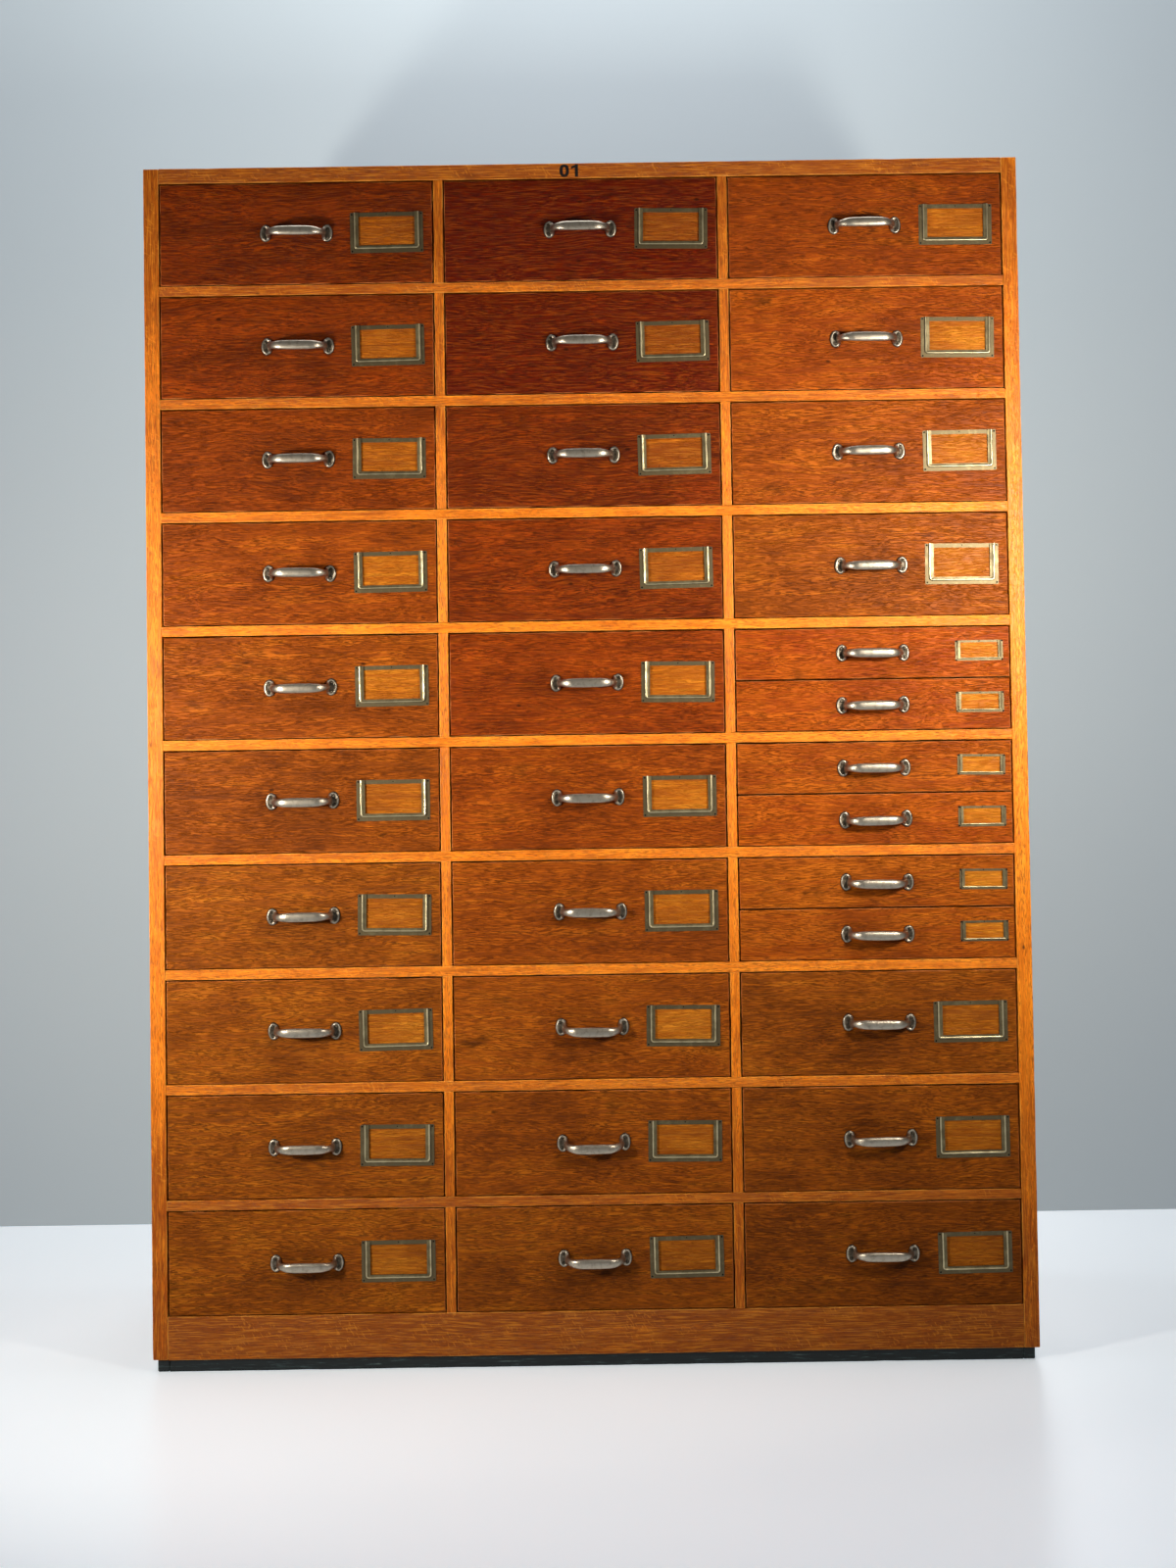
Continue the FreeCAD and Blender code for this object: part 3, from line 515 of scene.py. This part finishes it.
plinth = {"inset": 6, "thick": 17, "sideArris": 2.0, "railArris": 1.2}
outer = case["wide"] / 2 - plinth["inset"]
plinthFront, plinthRear = frontY + plinth["inset"], rearY - plinth["inset"]
for side, way in (("left", -1), ("right", 1)):
    low, high = sorted((way * outer, way * (outer - plinth["thick"])))
    addCaseBoard(f"{side}_plinth_board", (low, plinthFront, 0), (high, plinthRear, case["plinth"]), 1,
                 ["plinth_sides"], blackPaint, 81 + way, arris=plinth["sideArris"])
between = outer - plinth["thick"]
for end, start in (("front", plinthFront), ("rear", plinthRear - plinth["thick"])):
    addCaseBoard(f"{end}_plinth_board", (-between, start, 0),
                 (between, start + plinth["thick"], case["plinth"]), 0, ["plinth_rails"], blackPaint, 85,
                 arris=plinth["railArris"])

keptNodes = {"bottom_board": rearOak, "rear_base_board": rearOak, "middle_bearer": sideOak,
             "left_partition": upOak, "right_partition": upOak, "drawer_runners": sideOak,
             "small_drawer_runners": sideOak, "drawer_stops": rearOak, "back_panels": backPly,
             "back_screws": darkScrew}
for number, (name, material) in enumerate(keptNodes.items()):
    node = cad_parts[name]
    node.data.materials.clear()
    node.data.materials.append(material)
    dress(node, 100 + 3.7 * number)
print("case built")


# Number on the top rail

numberMark = {"high": 18.2, "wide": 14.0, "stroke": 4.8, "gap": 2.4, "x": -14, "thick": 0.12, "sunk": 0.05,
              "around": 40, "square": 0.8}


def addNumber():
    high, wide, stroke = (numberMark[key] for key in ("high", "wide", "stroke"))
    face, back = frontY - numberMark["thick"], frontY + numberMark["sunk"]
    low = case["high"] - case["top"] / 2 - high / 2
    centre = numberMark["x"] - numberMark["gap"] / 2 - wide / 2
    shape = bmesh.new()

    def loop(inset, level):
        # a squarish oval, as a stencil's nought
        halfWide, halfHigh = wide / 2 - inset, high / 2 - inset * 0.8
        return [addPoint(shape, centre + x, level, low + high / 2 + z)
                for x, z in oval(halfWide, halfHigh, numberMark["around"], numberMark["square"])]
    rings = [loop(0, face), loop(stroke, face), loop(stroke, back), loop(0, back)]
    closeRings(shape, rings + rings[:1], capped=False)
    left = numberMark["x"] + numberMark["gap"] / 2
    bar = left + wide * 0.42
    outline = [(bar, 0), (bar + stroke, 0), (bar + stroke, high), (bar + stroke * 0.25, high),
               (left + wide * 0.02, high * 0.80), (left + wide * 0.02, high * 0.62), (bar, high * 0.74)]
    prism([(x, low + z) for x, z in outline], face, back, "Y", shape)
    mesh = meshOf("painted_number", shape, stencilPaint)
    addPiece("painted_number", mesh, "case", ())


addNumber()


# Handle

handle = {"footWide": 16.5, "footHigh": 25, "footX": 44.75, "footOut": 3.2, "footAround": 48, "flat": 20,
          "reach": 21.25, "out": 25.5, "crown": 0.3, "start": 1.6, "around": 32}
# profile of a foot from its edge inwards: how far in, how far out from the front
footProfile = [(0.0, 0.0), (0.0, 1.0), (0.3, 1.9), (0.9, 2.65), (1.7, 3.08), (2.4, 3.2), (3.1, 3.05),
               (3.8, 2.65), (4.4, 2.3), (5.2, 2.2)]
# angle from the plate, height, depth, squareness of the section, and how far in from the quarter oval
bowStations = [(0, 21.5, 7.4, 2.0, 0.9), (3, 19.0, 7.0, 2.0, 0.8), (7, 15.0, 7.0, 2.0, 0.6),
               (12, 11.8, 7.3, 2.0, 0.35), (20, 9.8, 7.6, 2.1, 0.1), (30, 9.2, 7.5, 2.2, 0.0),
               (40, 9.6, 7.3, 2.3, 0.0), (50, 10.4, 7.1, 2.3, 0.0), (60, 11.3, 6.9, 2.3, 0.0),
               (70, 12.1, 6.7, 2.3, 0.0), (80, 12.7, 6.6, 2.3, 0.0), (90, 13.1, 6.5, 2.3, 0.0)]
# the grip between the curves: distance from the middle, height, depth, squareness
gripStations = [(15, 13.3, 6.5, 2.3), (9, 13.5, 6.5, 2.3), (3, 13.6, 6.6, 2.3)]


def makeHandle():
    rise = handle["out"] - handle["start"]
    half = []
    for angle, high, deep, square, drawn in bowStations:
        a = math.radians(angle)
        x = handle["flat"] + handle["reach"] * math.cos(a) - drawn
        y = -handle["start"] - rise * math.sin(a)
        turn = math.atan2(rise * math.cos(a), handle["reach"] * math.sin(a)) - math.pi / 2
        half.append((x, y, high, deep, square, turn))
    for x, high, deep, square in gripStations:
        y = -handle["out"] - handle["crown"] * (1 - x / handle["flat"])
        half.append((x, y, high, deep, square, -math.pi / 2))
    bow = bmesh.new()
    rings = []
    for x, y, high, deep, square, turn in ([(-x, *rest, -turn) for x, *rest, turn in half]
                                           + [(*rest, turn + math.pi) for *rest, turn in half[::-1]]):
        rings.append([addPoint(bow, x + across * math.cos(turn), y + across * math.sin(turn), up)
                      for across, up in oval(deep / 2, high / 2, handle["around"], 2 / square)])
    whole = meshOf("bow_handle", closeRings(bow, rings), wornNickel)
    for way in (-1, 1):
        foot = bmesh.new()
        rings = []
        for inset, out in footProfile:
            halfWide, halfHigh = handle["footWide"] / 2 - inset, handle["footHigh"] / 2 - inset
            rings.append([addPoint(foot, way * handle["footX"] + x, -out, z)
                          for x, z in oval(halfWide, halfHigh, handle["footAround"])])
        whole = carved(whole, meshOf("handle_foot", closeRings(foot, rings)), "UNION")
    return smoothed(whole, 52)


def domeInto(shape, x, y, z, head, high, around=20):
    # a round head on a flat base: share of its width, share of its height
    rings = []
    for wide, up in ((1.0, 0.0), (0.96, 0.35), (0.84, 0.62), (0.62, 0.84), (0.34, 0.96)):
        rings.append([addPoint(shape, x + a, y - high * up, z + b)
                      for a, b in oval(head / 2 * wide, head / 2 * wide, around)])
    closeRings(shape, rings)


screws = {"x": 46.4, "z": 6.3, "floor": 2.2, "head": 5.3, "high": 1.4, "slot": 0.8, "slotHalf": 3.2,
          "slotFloor": 0.75, "slotTop": 3}


def makeScrews():
    places = [(x * screws["x"], z * screws["z"]) for x in (-1, 1) for z in (-1, 1)]
    shape = bmesh.new()
    for x, z in places:
        domeInto(shape, x, -screws["floor"], z, screws["head"], screws["high"])
    heads = meshOf("handle_screws", shape, darkScrew)
    slotLine = corners(-screws["slotHalf"], -screws["slot"] / 2, screws["slotHalf"], screws["slot"] / 2)
    slotTop, slotFloor = -screws["floor"] - screws["slotTop"], -screws["floor"] - screws["slotFloor"]
    for number, (x, z) in enumerate(places):
        slot = prism(slotLine, slotTop, slotFloor, "Y")
        # each screw stopped at its own angle
        turn = Matrix.Rotation(0.5 + number * 1.1, 3, "Y")
        bmesh.ops.rotate(slot, verts=slot.verts, cent=(0, 0, 0), matrix=turn)
        bmesh.ops.translate(slot, verts=slot.verts, vec=Vector((x, 0, z)) * mm)
        heads = carved(heads, meshOf("screw_slot", slot))
    return smoothed(heads, 40)


def bentHandle(mesh, share):
    # the bow leans down by a share of its reach, the feet stay flat on the wood
    bent = mesh.copy()
    for vert in bent.vertices:
        vert.co.z -= share * max(0.0, -vert.co.y - handle["footOut"] * mm)
    return bent


# handles lean a little or not at all, but three in the middle column were bent down by more of their reach
usualLeans = (-0.04, 0.0, 0.04)
bentHandles = {"drawer_middle_08": 0.19, "drawer_middle_09": 0.21, "drawer_middle_10": 0.12}
handleMesh, screwMesh = makeHandle(), makeScrews()
handleMeshes = {lean: bentHandle(handleMesh, lean) for lean in (*usualLeans, *sorted(bentHandles.values()))}
print("handle built")


# Label frames

labels = {
    "large": {"wide": 106, "high": 59, "flange": 5.2, "side": 12.3, "foot": 10.5, "head": 6, "ridge": 3.1,
              "corner": 1.5, "turn": 5.0, "proud": 3.3},
    "small": {"wide": 69, "high": 29.5, "flange": 2.8, "side": 7.2, "foot": 4.6, "head": 3.2, "ridge": 1.5,
              "corner": 1.2, "turn": 2.6, "proud": 3.1},
}
sheet, lipLow, lipTop = 0.8, 2.0, 2.8
pin = {"head": 2.7, "upperHead": 1.8, "high": 0.5, "around": 14}


def makeLabelFrame(name, size):
    halfWide, halfHigh = size["wide"] / 2, size["high"] / 2
    # flat sheet with the window cut out of it
    outline = []
    for cx, cz, start in ((1, 1, 0), (-1, 1, 90), (-1, -1, 180), (1, -1, 270)):
        for k in range(5):
            t = math.radians(start + 22.5 * k)
            outline.append((cx * (halfWide - size["corner"]) + size["corner"] * math.cos(t),
                            cz * (halfHigh - size["corner"]) + size["corner"] * math.sin(t)))
    plate = meshOf(name, prism(outline, -sheet, 0, "Y"), agedBrass)
    window = corners(size["side"] - halfWide, size["foot"] - halfHigh, halfWide - size["side"],
                     halfHigh - size["head"])
    plate = carved(plate, meshOf("window", prism(window, -9, 9, "Y")))
    # raised lip on three sides: its profile from the outside in, as share across and height, where the
    # window's own edge is as far in as it goes
    ridge, proud, edge = size["ridge"], size["proud"], math.inf
    lipSide, lipFoot = size["side"] - size["flange"], size["foot"] - size["flange"]
    profile = [(0.0, sheet - 0.1), (0.12, 1.9), (0.45, 2.75), (0.95, proud - 0.08), (ridge * 0.5, proud),
               (ridge - 0.75, proud - 0.12), (ridge - 0.3, lipTop + 0.12), (ridge, lipTop), (edge, lipTop),
               (edge, lipLow), (ridge, lipLow), (ridge - 0.8, lipLow - 0.5), (0.9, sheet - 0.1)]
    shape = bmesh.new()
    lines = []
    for offset, height in profile:
        x = halfWide - size["flange"] - min(offset, lipSide)
        low = -halfHigh + size["flange"] + min(offset, lipFoot)
        bend = max(size["turn"] - offset, 0.02)
        # down the left side, round its corner, along the foot, and the same mirrored
        left = [(-x, halfHigh - (halfHigh - low - bend) * k / 6) for k in range(6)]
        for t in map(math.radians, range(0, 91, 15)):
            left.append((-x + bend - bend * math.cos(t), low + bend - bend * math.sin(t)))
        foot = [(-x + bend + (2 * x - 2 * bend) * k / 8, low) for k in range(1, 8)]
        path = left + foot + [(-a, b) for a, b in left[::-1]]
        lines.append([addPoint(shape, a, -height, b) for a, b in path])
    lip = meshOf(name + "_lip", closeRings(shape, list(zip(*lines))), agedBrass)
    return smoothed(carved(plate, lip, "UNION"), 38)


def makePins(name, size):
    shape = bmesh.new()
    x, z = size["wide"] / 2 - size["flange"] / 2, size["high"] / 2 - size["flange"] / 2
    spots = [(*spot, pin["head"]) for spot in corners(-x, -z, x, z)]
    spots.append((0, size["high"] / 2 - size["head"] * 0.42, pin["upperHead"]))
    for a, b, head in spots:
        domeInto(shape, a, -sheet, b, head, pin["high"], pin["around"])
    pins = meshOf(name, shape, darkScrew)
    pins.shade_smooth()
    return pins


frameMeshes = {kind: makeLabelFrame(kind + "_label_frame", size) for kind, size in labels.items()}
pinMeshes = {kind: makePins(kind + "_label_pins", size) for kind, size in labels.items()}
print("label frames built")


# Drawers

drawers = {"face": 1.5, "wide": bayWide - 3.6, "low": 1.2, "thick": 18, "sideThick": 10, "lap": 12,
           "long": 415, "rearThick": 10, "rearInset": 8, "rearDrop": 6, "panel": 5, "groove": 9,
           "grooveDeep": 5, "slack": 0.1, "arris": 1.2, "wear": 0.45, "dents": 1.0, "sideArris": 0.5,
           "rearArris": 0.6, "bottomArris": 0.3, "slice": 60, "gridWide": 22, "gridHigh": 7, "patch": 1.2}
tails = {"halfPin": 6.0, "pin": 9.5, "flare": 1.8, "clear": 0.06, "short": 0.05}
drawerKinds = {
    "large": {"high": 147.0, "sideLow": 0.3, "sideTop": 148.0, "tails": 4, "labelX": 131.667,
              "labelRise": 0.0, "fresher": 0.0, "lighter": 0.0},
    "small": {"high": 72.6, "sideLow": 9.8, "sideTop": 72.4, "tails": 2, "labelX": 154.167,
              "labelRise": 2.0, "fresher": 0.35, "lighter": 0.28},
}


def tailEdges(kind):
    # where each tail starts and ends at its root, leaving half pins at top and bottom
    low, top, count = kind["sideLow"], kind["sideTop"], kind["tails"]
    tail = (top - low - 2 * tails["halfPin"] - (count - 1) * tails["pin"]) / count
    starts = [low + tails["halfPin"] + i * (tail + tails["pin"]) for i in range(count)]
    return [(start, start + tail) for start in starts]


def makeFront(name, kind, size, seed):
    # the front board: worn arrises, the unfaded patch behind the label frame, sockets for the tails
    half, thick = drawers["wide"] / 2, drawers["thick"]
    low, high = drawers["low"], drawers["low"] + kind["high"]
    middle = (low + high) / 2 + kind["labelRise"]
    patchHalf = size["wide"] / 2 - size["side"] + drawers["patch"]
    left, right = kind["labelX"] - patchHalf, kind["labelX"] + patchHalf
    under = middle - size["high"] / 2 + size["foot"] - drawers["patch"]
    over = middle + size["high"] / 2 - size["head"] + drawers["patch"]
    wide, tall = drawers["gridWide"], drawers["gridHigh"]
    xs = sorted([-half + 2 * half * k / wide for k in range(wide + 1)] + [left, right])
    zs = sorted([low + (high - low) * k / tall for k in range(tall + 1)] + [under, over])
    lastX, lastZ = len(xs) - 1, len(zs) - 1
    shape = bmesh.new()
    face = {(i, j): addPoint(shape, x, 0.0, z) for i, x in enumerate(xs) for j, z in enumerate(zs)}
    for i in range(lastX):
        for j in range(lastZ):
            cell = shape.faces.new([face[spot] for spot in corners(i, j, i + 1, j + 1)])
            midX, midZ = (xs[i] + xs[i + 1]) / 2, (zs[j] + zs[j + 1]) / 2
            cell.material_index = int(left < midX < right and under < midZ < over)
    rim = [(i, 0) for i in range(lastX)] + [(lastX, j) for j in range(lastZ)]
    rim += [(i, lastZ) for i in range(lastX, 0, -1)] + [(0, j) for j in range(lastZ, 0, -1)]
    inside = [addPoint(shape, xs[i], thick, zs[j]) for i, j in rim]
    # the inside of the board was never stained
    shape.faces.new(inside).material_index = 2
    closeRings(shape, [[face[spot] for spot in rim], inside], capped=False)
    softened(shape, drawers["arris"], drawers["wear"], seed, drawers["dents"])
    mesh = meshOf(name, shape, frontOak, windowOak, rearOak)
    lapStart, flare = thick - drawers["lap"], tails["flare"]
    for way in (-1, 1):
        ends = sorted((way * (half - drawers["sideThick"]), way * (half + 3)))
        for a, b in tailEdges(kind):
            socket = [(lapStart, a - flare), (lapStart, b + flare), (thick, b), (thick + 2, b - 0.3),
                      (thick + 2, a + 0.3), (thick, a)]
            mesh = carved(mesh, meshOf("socket", prism(socket, ends[0], ends[1], "X")))
    return mesh


def makeSide(name, kind, way):
    # a side with its groove for the bottom, and the tails at its front end
    low, top, thick = kind["sideLow"], kind["sideTop"], drawers["thick"]
    outer = drawers["wide"] / 2
    inside, grooved = outer - drawers["sideThick"], outer - drawers["sideThick"] + drawers["grooveDeep"]
    groove = low + drawers["groove"]
    grooveTop = groove + drawers["panel"] + 2 * drawers["slack"]
    outline = corners(inside, low, outer, top) + corners(inside, groove, grooved, grooveTop)[::-1]
    start = thick - drawers["lap"] + tails["short"]
    shape = prism([(way * x, z) for x, z in outline], start, drawers["long"], "Y")
    mesh = meshOf(name, softened(shape, drawers["sideArris"]), sideOak)
    edges = tailEdges(kind)
    flare, clear = tails["flare"], tails["clear"]
    # between the tails, and past the last one at either end
    gaps = list(zip([low - 3] + [tail[1] for tail in edges], [tail[0] for tail in edges] + [top + 3]))
    ends = sorted((way * (inside - 3), way * (outer + 3)))
    for number, (a, b) in enumerate(gaps):
        tipLow = (a if number == 0 else a + flare) - clear
        tipTop = (b if number == len(gaps) - 1 else b - flare) + clear
        gap = [(start - 2, tipLow), (start - 2, tipTop), (start, tipTop), (thick, b + clear),
               (thick, a - clear), (start, tipLow)]
        mesh = carved(mesh, meshOf("pin", prism(gap, ends[0], ends[1], "X")))
    return mesh


def makeBox(name, low, high, arris, material):
    return meshOf(name, softened(slicedBox(low, high, 0, drawers["slice"]), arris), material)


def makeDrawerMeshes(word, kind):
    inside, slack = drawers["wide"] / 2 - drawers["sideThick"], drawers["slack"]
    panelHalf = inside + drawers["grooveDeep"] - slack
    panelStart = drawers["thick"] - drawers["grooveDeep"] + slack
    panelEnd = drawers["long"] - drawers["rearInset"]
    panelLow = kind["sideLow"] + drawers["groove"] + slack
    panelTop, rearTop = panelLow + drawers["panel"], kind["sideTop"] - drawers["rearDrop"]
    return {
        "fronts": [makeFront(f"{word}_front_{n}", kind, labels[word], 11.0 + 5.3 * n) for n in range(3)],
        "left_side": makeSide(word + "_left_side", kind, -1),
        "right_side": makeSide(word + "_right_side", kind, 1),
        "rear": makeBox(word + "_rear", (-inside, panelEnd - drawers["rearThick"], panelTop),
                        (inside, panelEnd, rearTop), drawers["rearArris"], rearOak),
        "bottom": makeBox(word + "_bottom", (-panelHalf, panelStart, panelLow),
                          (panelHalf, panelEnd, panelTop), drawers["bottomArris"], bottomPly),
    }


drawerMeshes = {word: makeDrawerMeshes(word, kind) for word, kind in drawerKinds.items()}
print("drawer boards built")

# fittings were screwed on by hand, so each sits a little differently: by so many degrees and millimetres
fitting = {"swing": 0.9, "shift": 0.8}
# each inner board's slot, and what it adds to the drawer's seed
innerBoards = {"left_side": ("inner_wood", 31.0), "right_side": ("inner_wood", 57.0),
               "rear": ("inner_wood", 83.0), "bottom": ("back_wood", 97.0)}


def addDrawer(name, word, column, row, lift, number):
    kind, meshes = drawerKinds[word], drawerMeshes[word]
    chance = random.Random(1000 + number)
    x, z = column * bayPitch, rowFloor(row) + lift
    place = (x, frontY + drawers["face"], z)
    middle = drawers["low"] + kind["high"] / 2
    # the stain is reddest at the top and browner towards the floor
    down = (row - 1) / (case["rows"] - 1)
    byColumn = {-1: 0.1, 0: -0.15, 1: 0.35 - 0.35 * down}
    aged = 0.15 + 1.1 * down + byColumn[column] + chance.uniform(-0.1, 0.1)
    aged = min(1.0, max(0.0, aged)) - kind["fresher"]
    # the three upper rows are darker: painted shade, as the lamps at mid-height light the top of the front
    # less
    tone = chance.uniform(-0.09, 0.09) - 0.28 * max(0.0, 1 - 3 * down) + kind["lighter"]
    # and the middle column is darkest in its four upper rows, the right one lightest in its upper two: a
    # painted light, where the right lamp, set higher, lights them more
    byColumn = {-1: -0.1 * math.sin(math.pi * down), 0: -0.37 * min(1.0, max(0.0, 1.8 - 3.6 * down)),
                1: max(0.3 - 0.9 * down, 0.02 - 0.12 * down)}
    tone += byColumn[column]

    def part(suffix, mesh, at=place, turn=None, wood=0.0):
        piece = addPiece(f"{name}_{suffix}", mesh, name, [name], at, turn)
        piece["grip"] = middle * mm
        shade = tone if suffix == "front" else chance.uniform(-0.08, 0.08)
        dress(piece, number * 1.37 + wood, shade, aged)
    part("front", meshes["fronts"][number % 3])
    for suffix, (slot, wood) in innerBoards.items():
        part(suffix, meshes[suffix], wood=wood)
    swing = Matrix.Rotation(math.radians(chance.uniform(-fitting["swing"], fitting["swing"])), 4, "Y")
    lean = bentHandles.get(name, chance.choice(usualLeans))
    spot = (x + chance.uniform(-fitting["shift"], fitting["shift"]), place[1],
            z + middle + chance.uniform(-fitting["shift"], fitting["shift"]))
    part("handle", handleMeshes[lean], spot, swing)
    part("handle_screws", screwMesh, spot, swing)
    swing = Matrix.Rotation(math.radians(chance.uniform(-fitting["swing"], fitting["swing"])), 4, "Y")
    spot = (x + kind["labelX"], place[1], z + middle + kind["labelRise"])
    part("label_frame", frameMeshes[word], spot, swing)
    part("label_pins", pinMeshes[word], spot, swing)


# rows of the right column that hold two half-height drawers, the upper one higher by so much
halfRows, halfLift = (5, 6, 7), 74.4
number = 0
for column, bay in ((-1, "left"), (0, "middle"), (1, "right")):
    for row in range(1, case["rows"] + 1):
        if bay == "right" and row in halfRows:
            for half, lift in (("lower", 0.0), ("upper", halfLift)):
                number += 1
                addDrawer(f"small_drawer_right_{row:02d}_{half}", "small", column, row, lift, number)
        else:
            number += 1
            addDrawer(f"drawer_{bay}_{row:02d}", "large", column, row, 0.0, number)
print("drawers placed:", number)


# Studio

studio = {"wallY": 0.62, "halfWide": 6, "halfDeep": 8, "wallHigh": 5, "bounce": 0.45, "glow": "#e6f4ff",
          "ambient": "#eef0f4", "ambientPower": 0.045, "seenPower": 0.2}
paleFloor = {"colour": "#f2f7fa", "rough": 0.3, "shine": 0.4, "glow": 0.33}
paleWall = {"colour": "#a4b0b5", "rough": 0.8, "shine": 0.2, "glow": 0.21}


def seenShare(tree, rays):
    # 1 where the camera looks, straight, in a gloss or through glass, and 0 where light only bounces
    seen = rays["Is Camera Ray"]
    for word in ("Is Glossy Ray", "Is Transmission Ray"):
        seen = addNode(tree, "Math", {
            "operation": "ADD", 0: seen, 1: rays[word], "use_clamp": True}).outputs[0]
    return seen


def matteMaterial(name, finish, clearBehind=False):
    # Painted studio surface: a very faint cloudiness, so that it isn't dead flat. It throws back less light
    # than it shows, as in a large dark room, and looks paler than it is lit. The wall is clear from behind.
    material, tree = newMaterial(name)
    where = addNode(tree, "TexCoord", {}).outputs["Object"]
    cloud = addNode(tree, "TexNoise", {"Vector": where, "Scale": 1.4, "Detail": 3.0}).outputs["Fac"]
    base = linear(finish["colour"])
    colour = addNode(tree, "ValToRGB", {0: cloud, "stops": [
        (0.3, tuple(c * 0.96 for c in base[:3]) + (1.0,)), (0.7, base)]}).outputs[0]
    rays = addNode(tree, "LightPath", {}).outputs
    seen = seenShare(tree, rays)
    dim = tuple(c * studio["bounce"] for c in base[:3]) + (1.0,)
    shown = addNode(tree, "Mix", {"data_type": "RGBA", 0: seen, 6: dim, 7: colour}).outputs[2]
    glow = addNode(tree, "Math", {"operation": "MULTIPLY", 0: seen, 1: finish["glow"]}).outputs[0]
    surface = addNode(tree, "BsdfPrincipled", {
        "Base Color": shown, "Roughness": finish["rough"], "Specular IOR Level": finish["shine"],
        "Emission Color": linear(studio["glow"]), "Emission Strength": glow}).outputs[0]
    if clearBehind:
        behind = addNode(tree, "NewGeometry", {}).outputs["Backfacing"]
        behind = addNode(tree, "Math", {
            "operation": "ADD", 0: behind, 1: rays["Is Shadow Ray"], "use_clamp": True}).outputs[0]
        clear = addNode(tree, "BsdfTransparent", {}).outputs[0]
        surface = addNode(tree, "MixShader", {0: behind, 1: surface, 2: clear}).outputs[0]
    addNode(tree, "OutputMaterial", {"Surface": surface})
    return material


def addStage(name, spots, material):
    mesh = bpy.data.meshes.new(name)
    mesh.from_pydata(spots, [], [(0, 1, 2, 3)])
    mesh.materials.append(material)
    sheetObject = bpy.data.objects.new(name, mesh)
    scene.collection.objects.link(sheetObject)


wide, deep = studio["halfWide"], studio["halfDeep"]
addStage("studio_floor", [(x, y, 0) for x, y in corners(-wide, -deep, wide, deep)],
         matteMaterial("paleStudioFloor", paleFloor))
addStage("studio_wall", [(x, studio["wallY"], z) for x, z in corners(-wide, 0, wide, studio["wallHigh"])],
         matteMaterial("paleStudioWall", paleWall, clearBehind=True))

world = bpy.data.worlds.new("studio_air")
world.use_nodes = True
scene.world = world
air = world.node_tree.nodes["Background"]
air.inputs["Color"].default_value = linear(studio["ambient"])
# the air behind the object looks paler than it lights
rays = addNode(world.node_tree, "LightPath", {}).outputs
power = addNode(world.node_tree, "MapRange", {
    "Value": seenShare(world.node_tree, rays), "To Min": studio["ambientPower"],
    "To Max": studio["seenPower"]}).outputs[0]
world.node_tree.links.new(power, air.inputs["Strength"])

lamps = {
    "left_softbox": {"place": (-1.32, -1.35, 0.9), "aim": (-0.4, -0.22, 0.92), "size": (0.16, 0.2),
                     "power": 13.2, "colour": "#fff6ea", "spread": 106},
    "right_softbox": {"place": (0.92, -1.25, 1.22), "aim": (0.42, -0.22, 1.16), "size": (0.16, 0.2),
                      "power": 9.2, "colour": "#fff6ea", "spread": 106},
    "ceiling": {"place": (0.0, 0.0, 3.4), "aim": (0, -0.1, 0), "size": (3.4, 1.0), "power": 42,
                "colour": "#fafbff", "spread": 165},
    "wall_wash": {"place": (0.0, -0.1, 2.75), "aim": (0, 0.62, 1.6), "size": (1.2, 0.3), "power": 5.6,
                  "colour": "#fafbff", "spread": 150},
    "rear_fill": {"place": (0.5, 3.0, 1.7), "aim": (0, 0.2, 0.9), "size": (1.6, 1.2), "power": 9,
                  "colour": "#fafbff", "spread": 90},
}
for name, lamp in lamps.items():
    light = bpy.data.lights.new(name, "AREA")
    light.shape = "RECTANGLE"
    light.size, light.size_y = lamp["size"]
    light.energy = lamp["power"]
    light.color = linear(lamp["colour"])[:3]
    light.spread = math.radians(lamp["spread"])
    holder = bpy.data.objects.new(name, light)
    scene.collection.objects.link(holder)
    holder.location = lamp["place"]
    holder.rotation_euler = (Vector(lamp["aim"]) - Vector(lamp["place"])).to_track_quat("-Z", "Y").to_euler()

view = {"place": (-0.00202, -3.37238, 1.0), "turn": (1.60128, 0.01451, -0.00124), "lens": 50, "sensor": 36,
        "shift": -0.11661}
lens = bpy.data.cameras.new("camera")
lens.lens, lens.sensor_width, lens.shift_y = view["lens"], view["sensor"], view["shift"]
camera = bpy.data.objects.new("camera", lens)
scene.collection.objects.link(camera)
camera.location, camera.rotation_euler = view["place"], view["turn"]
scene.camera = camera
scene.view_settings.view_transform = "Standard"
print("studio set")
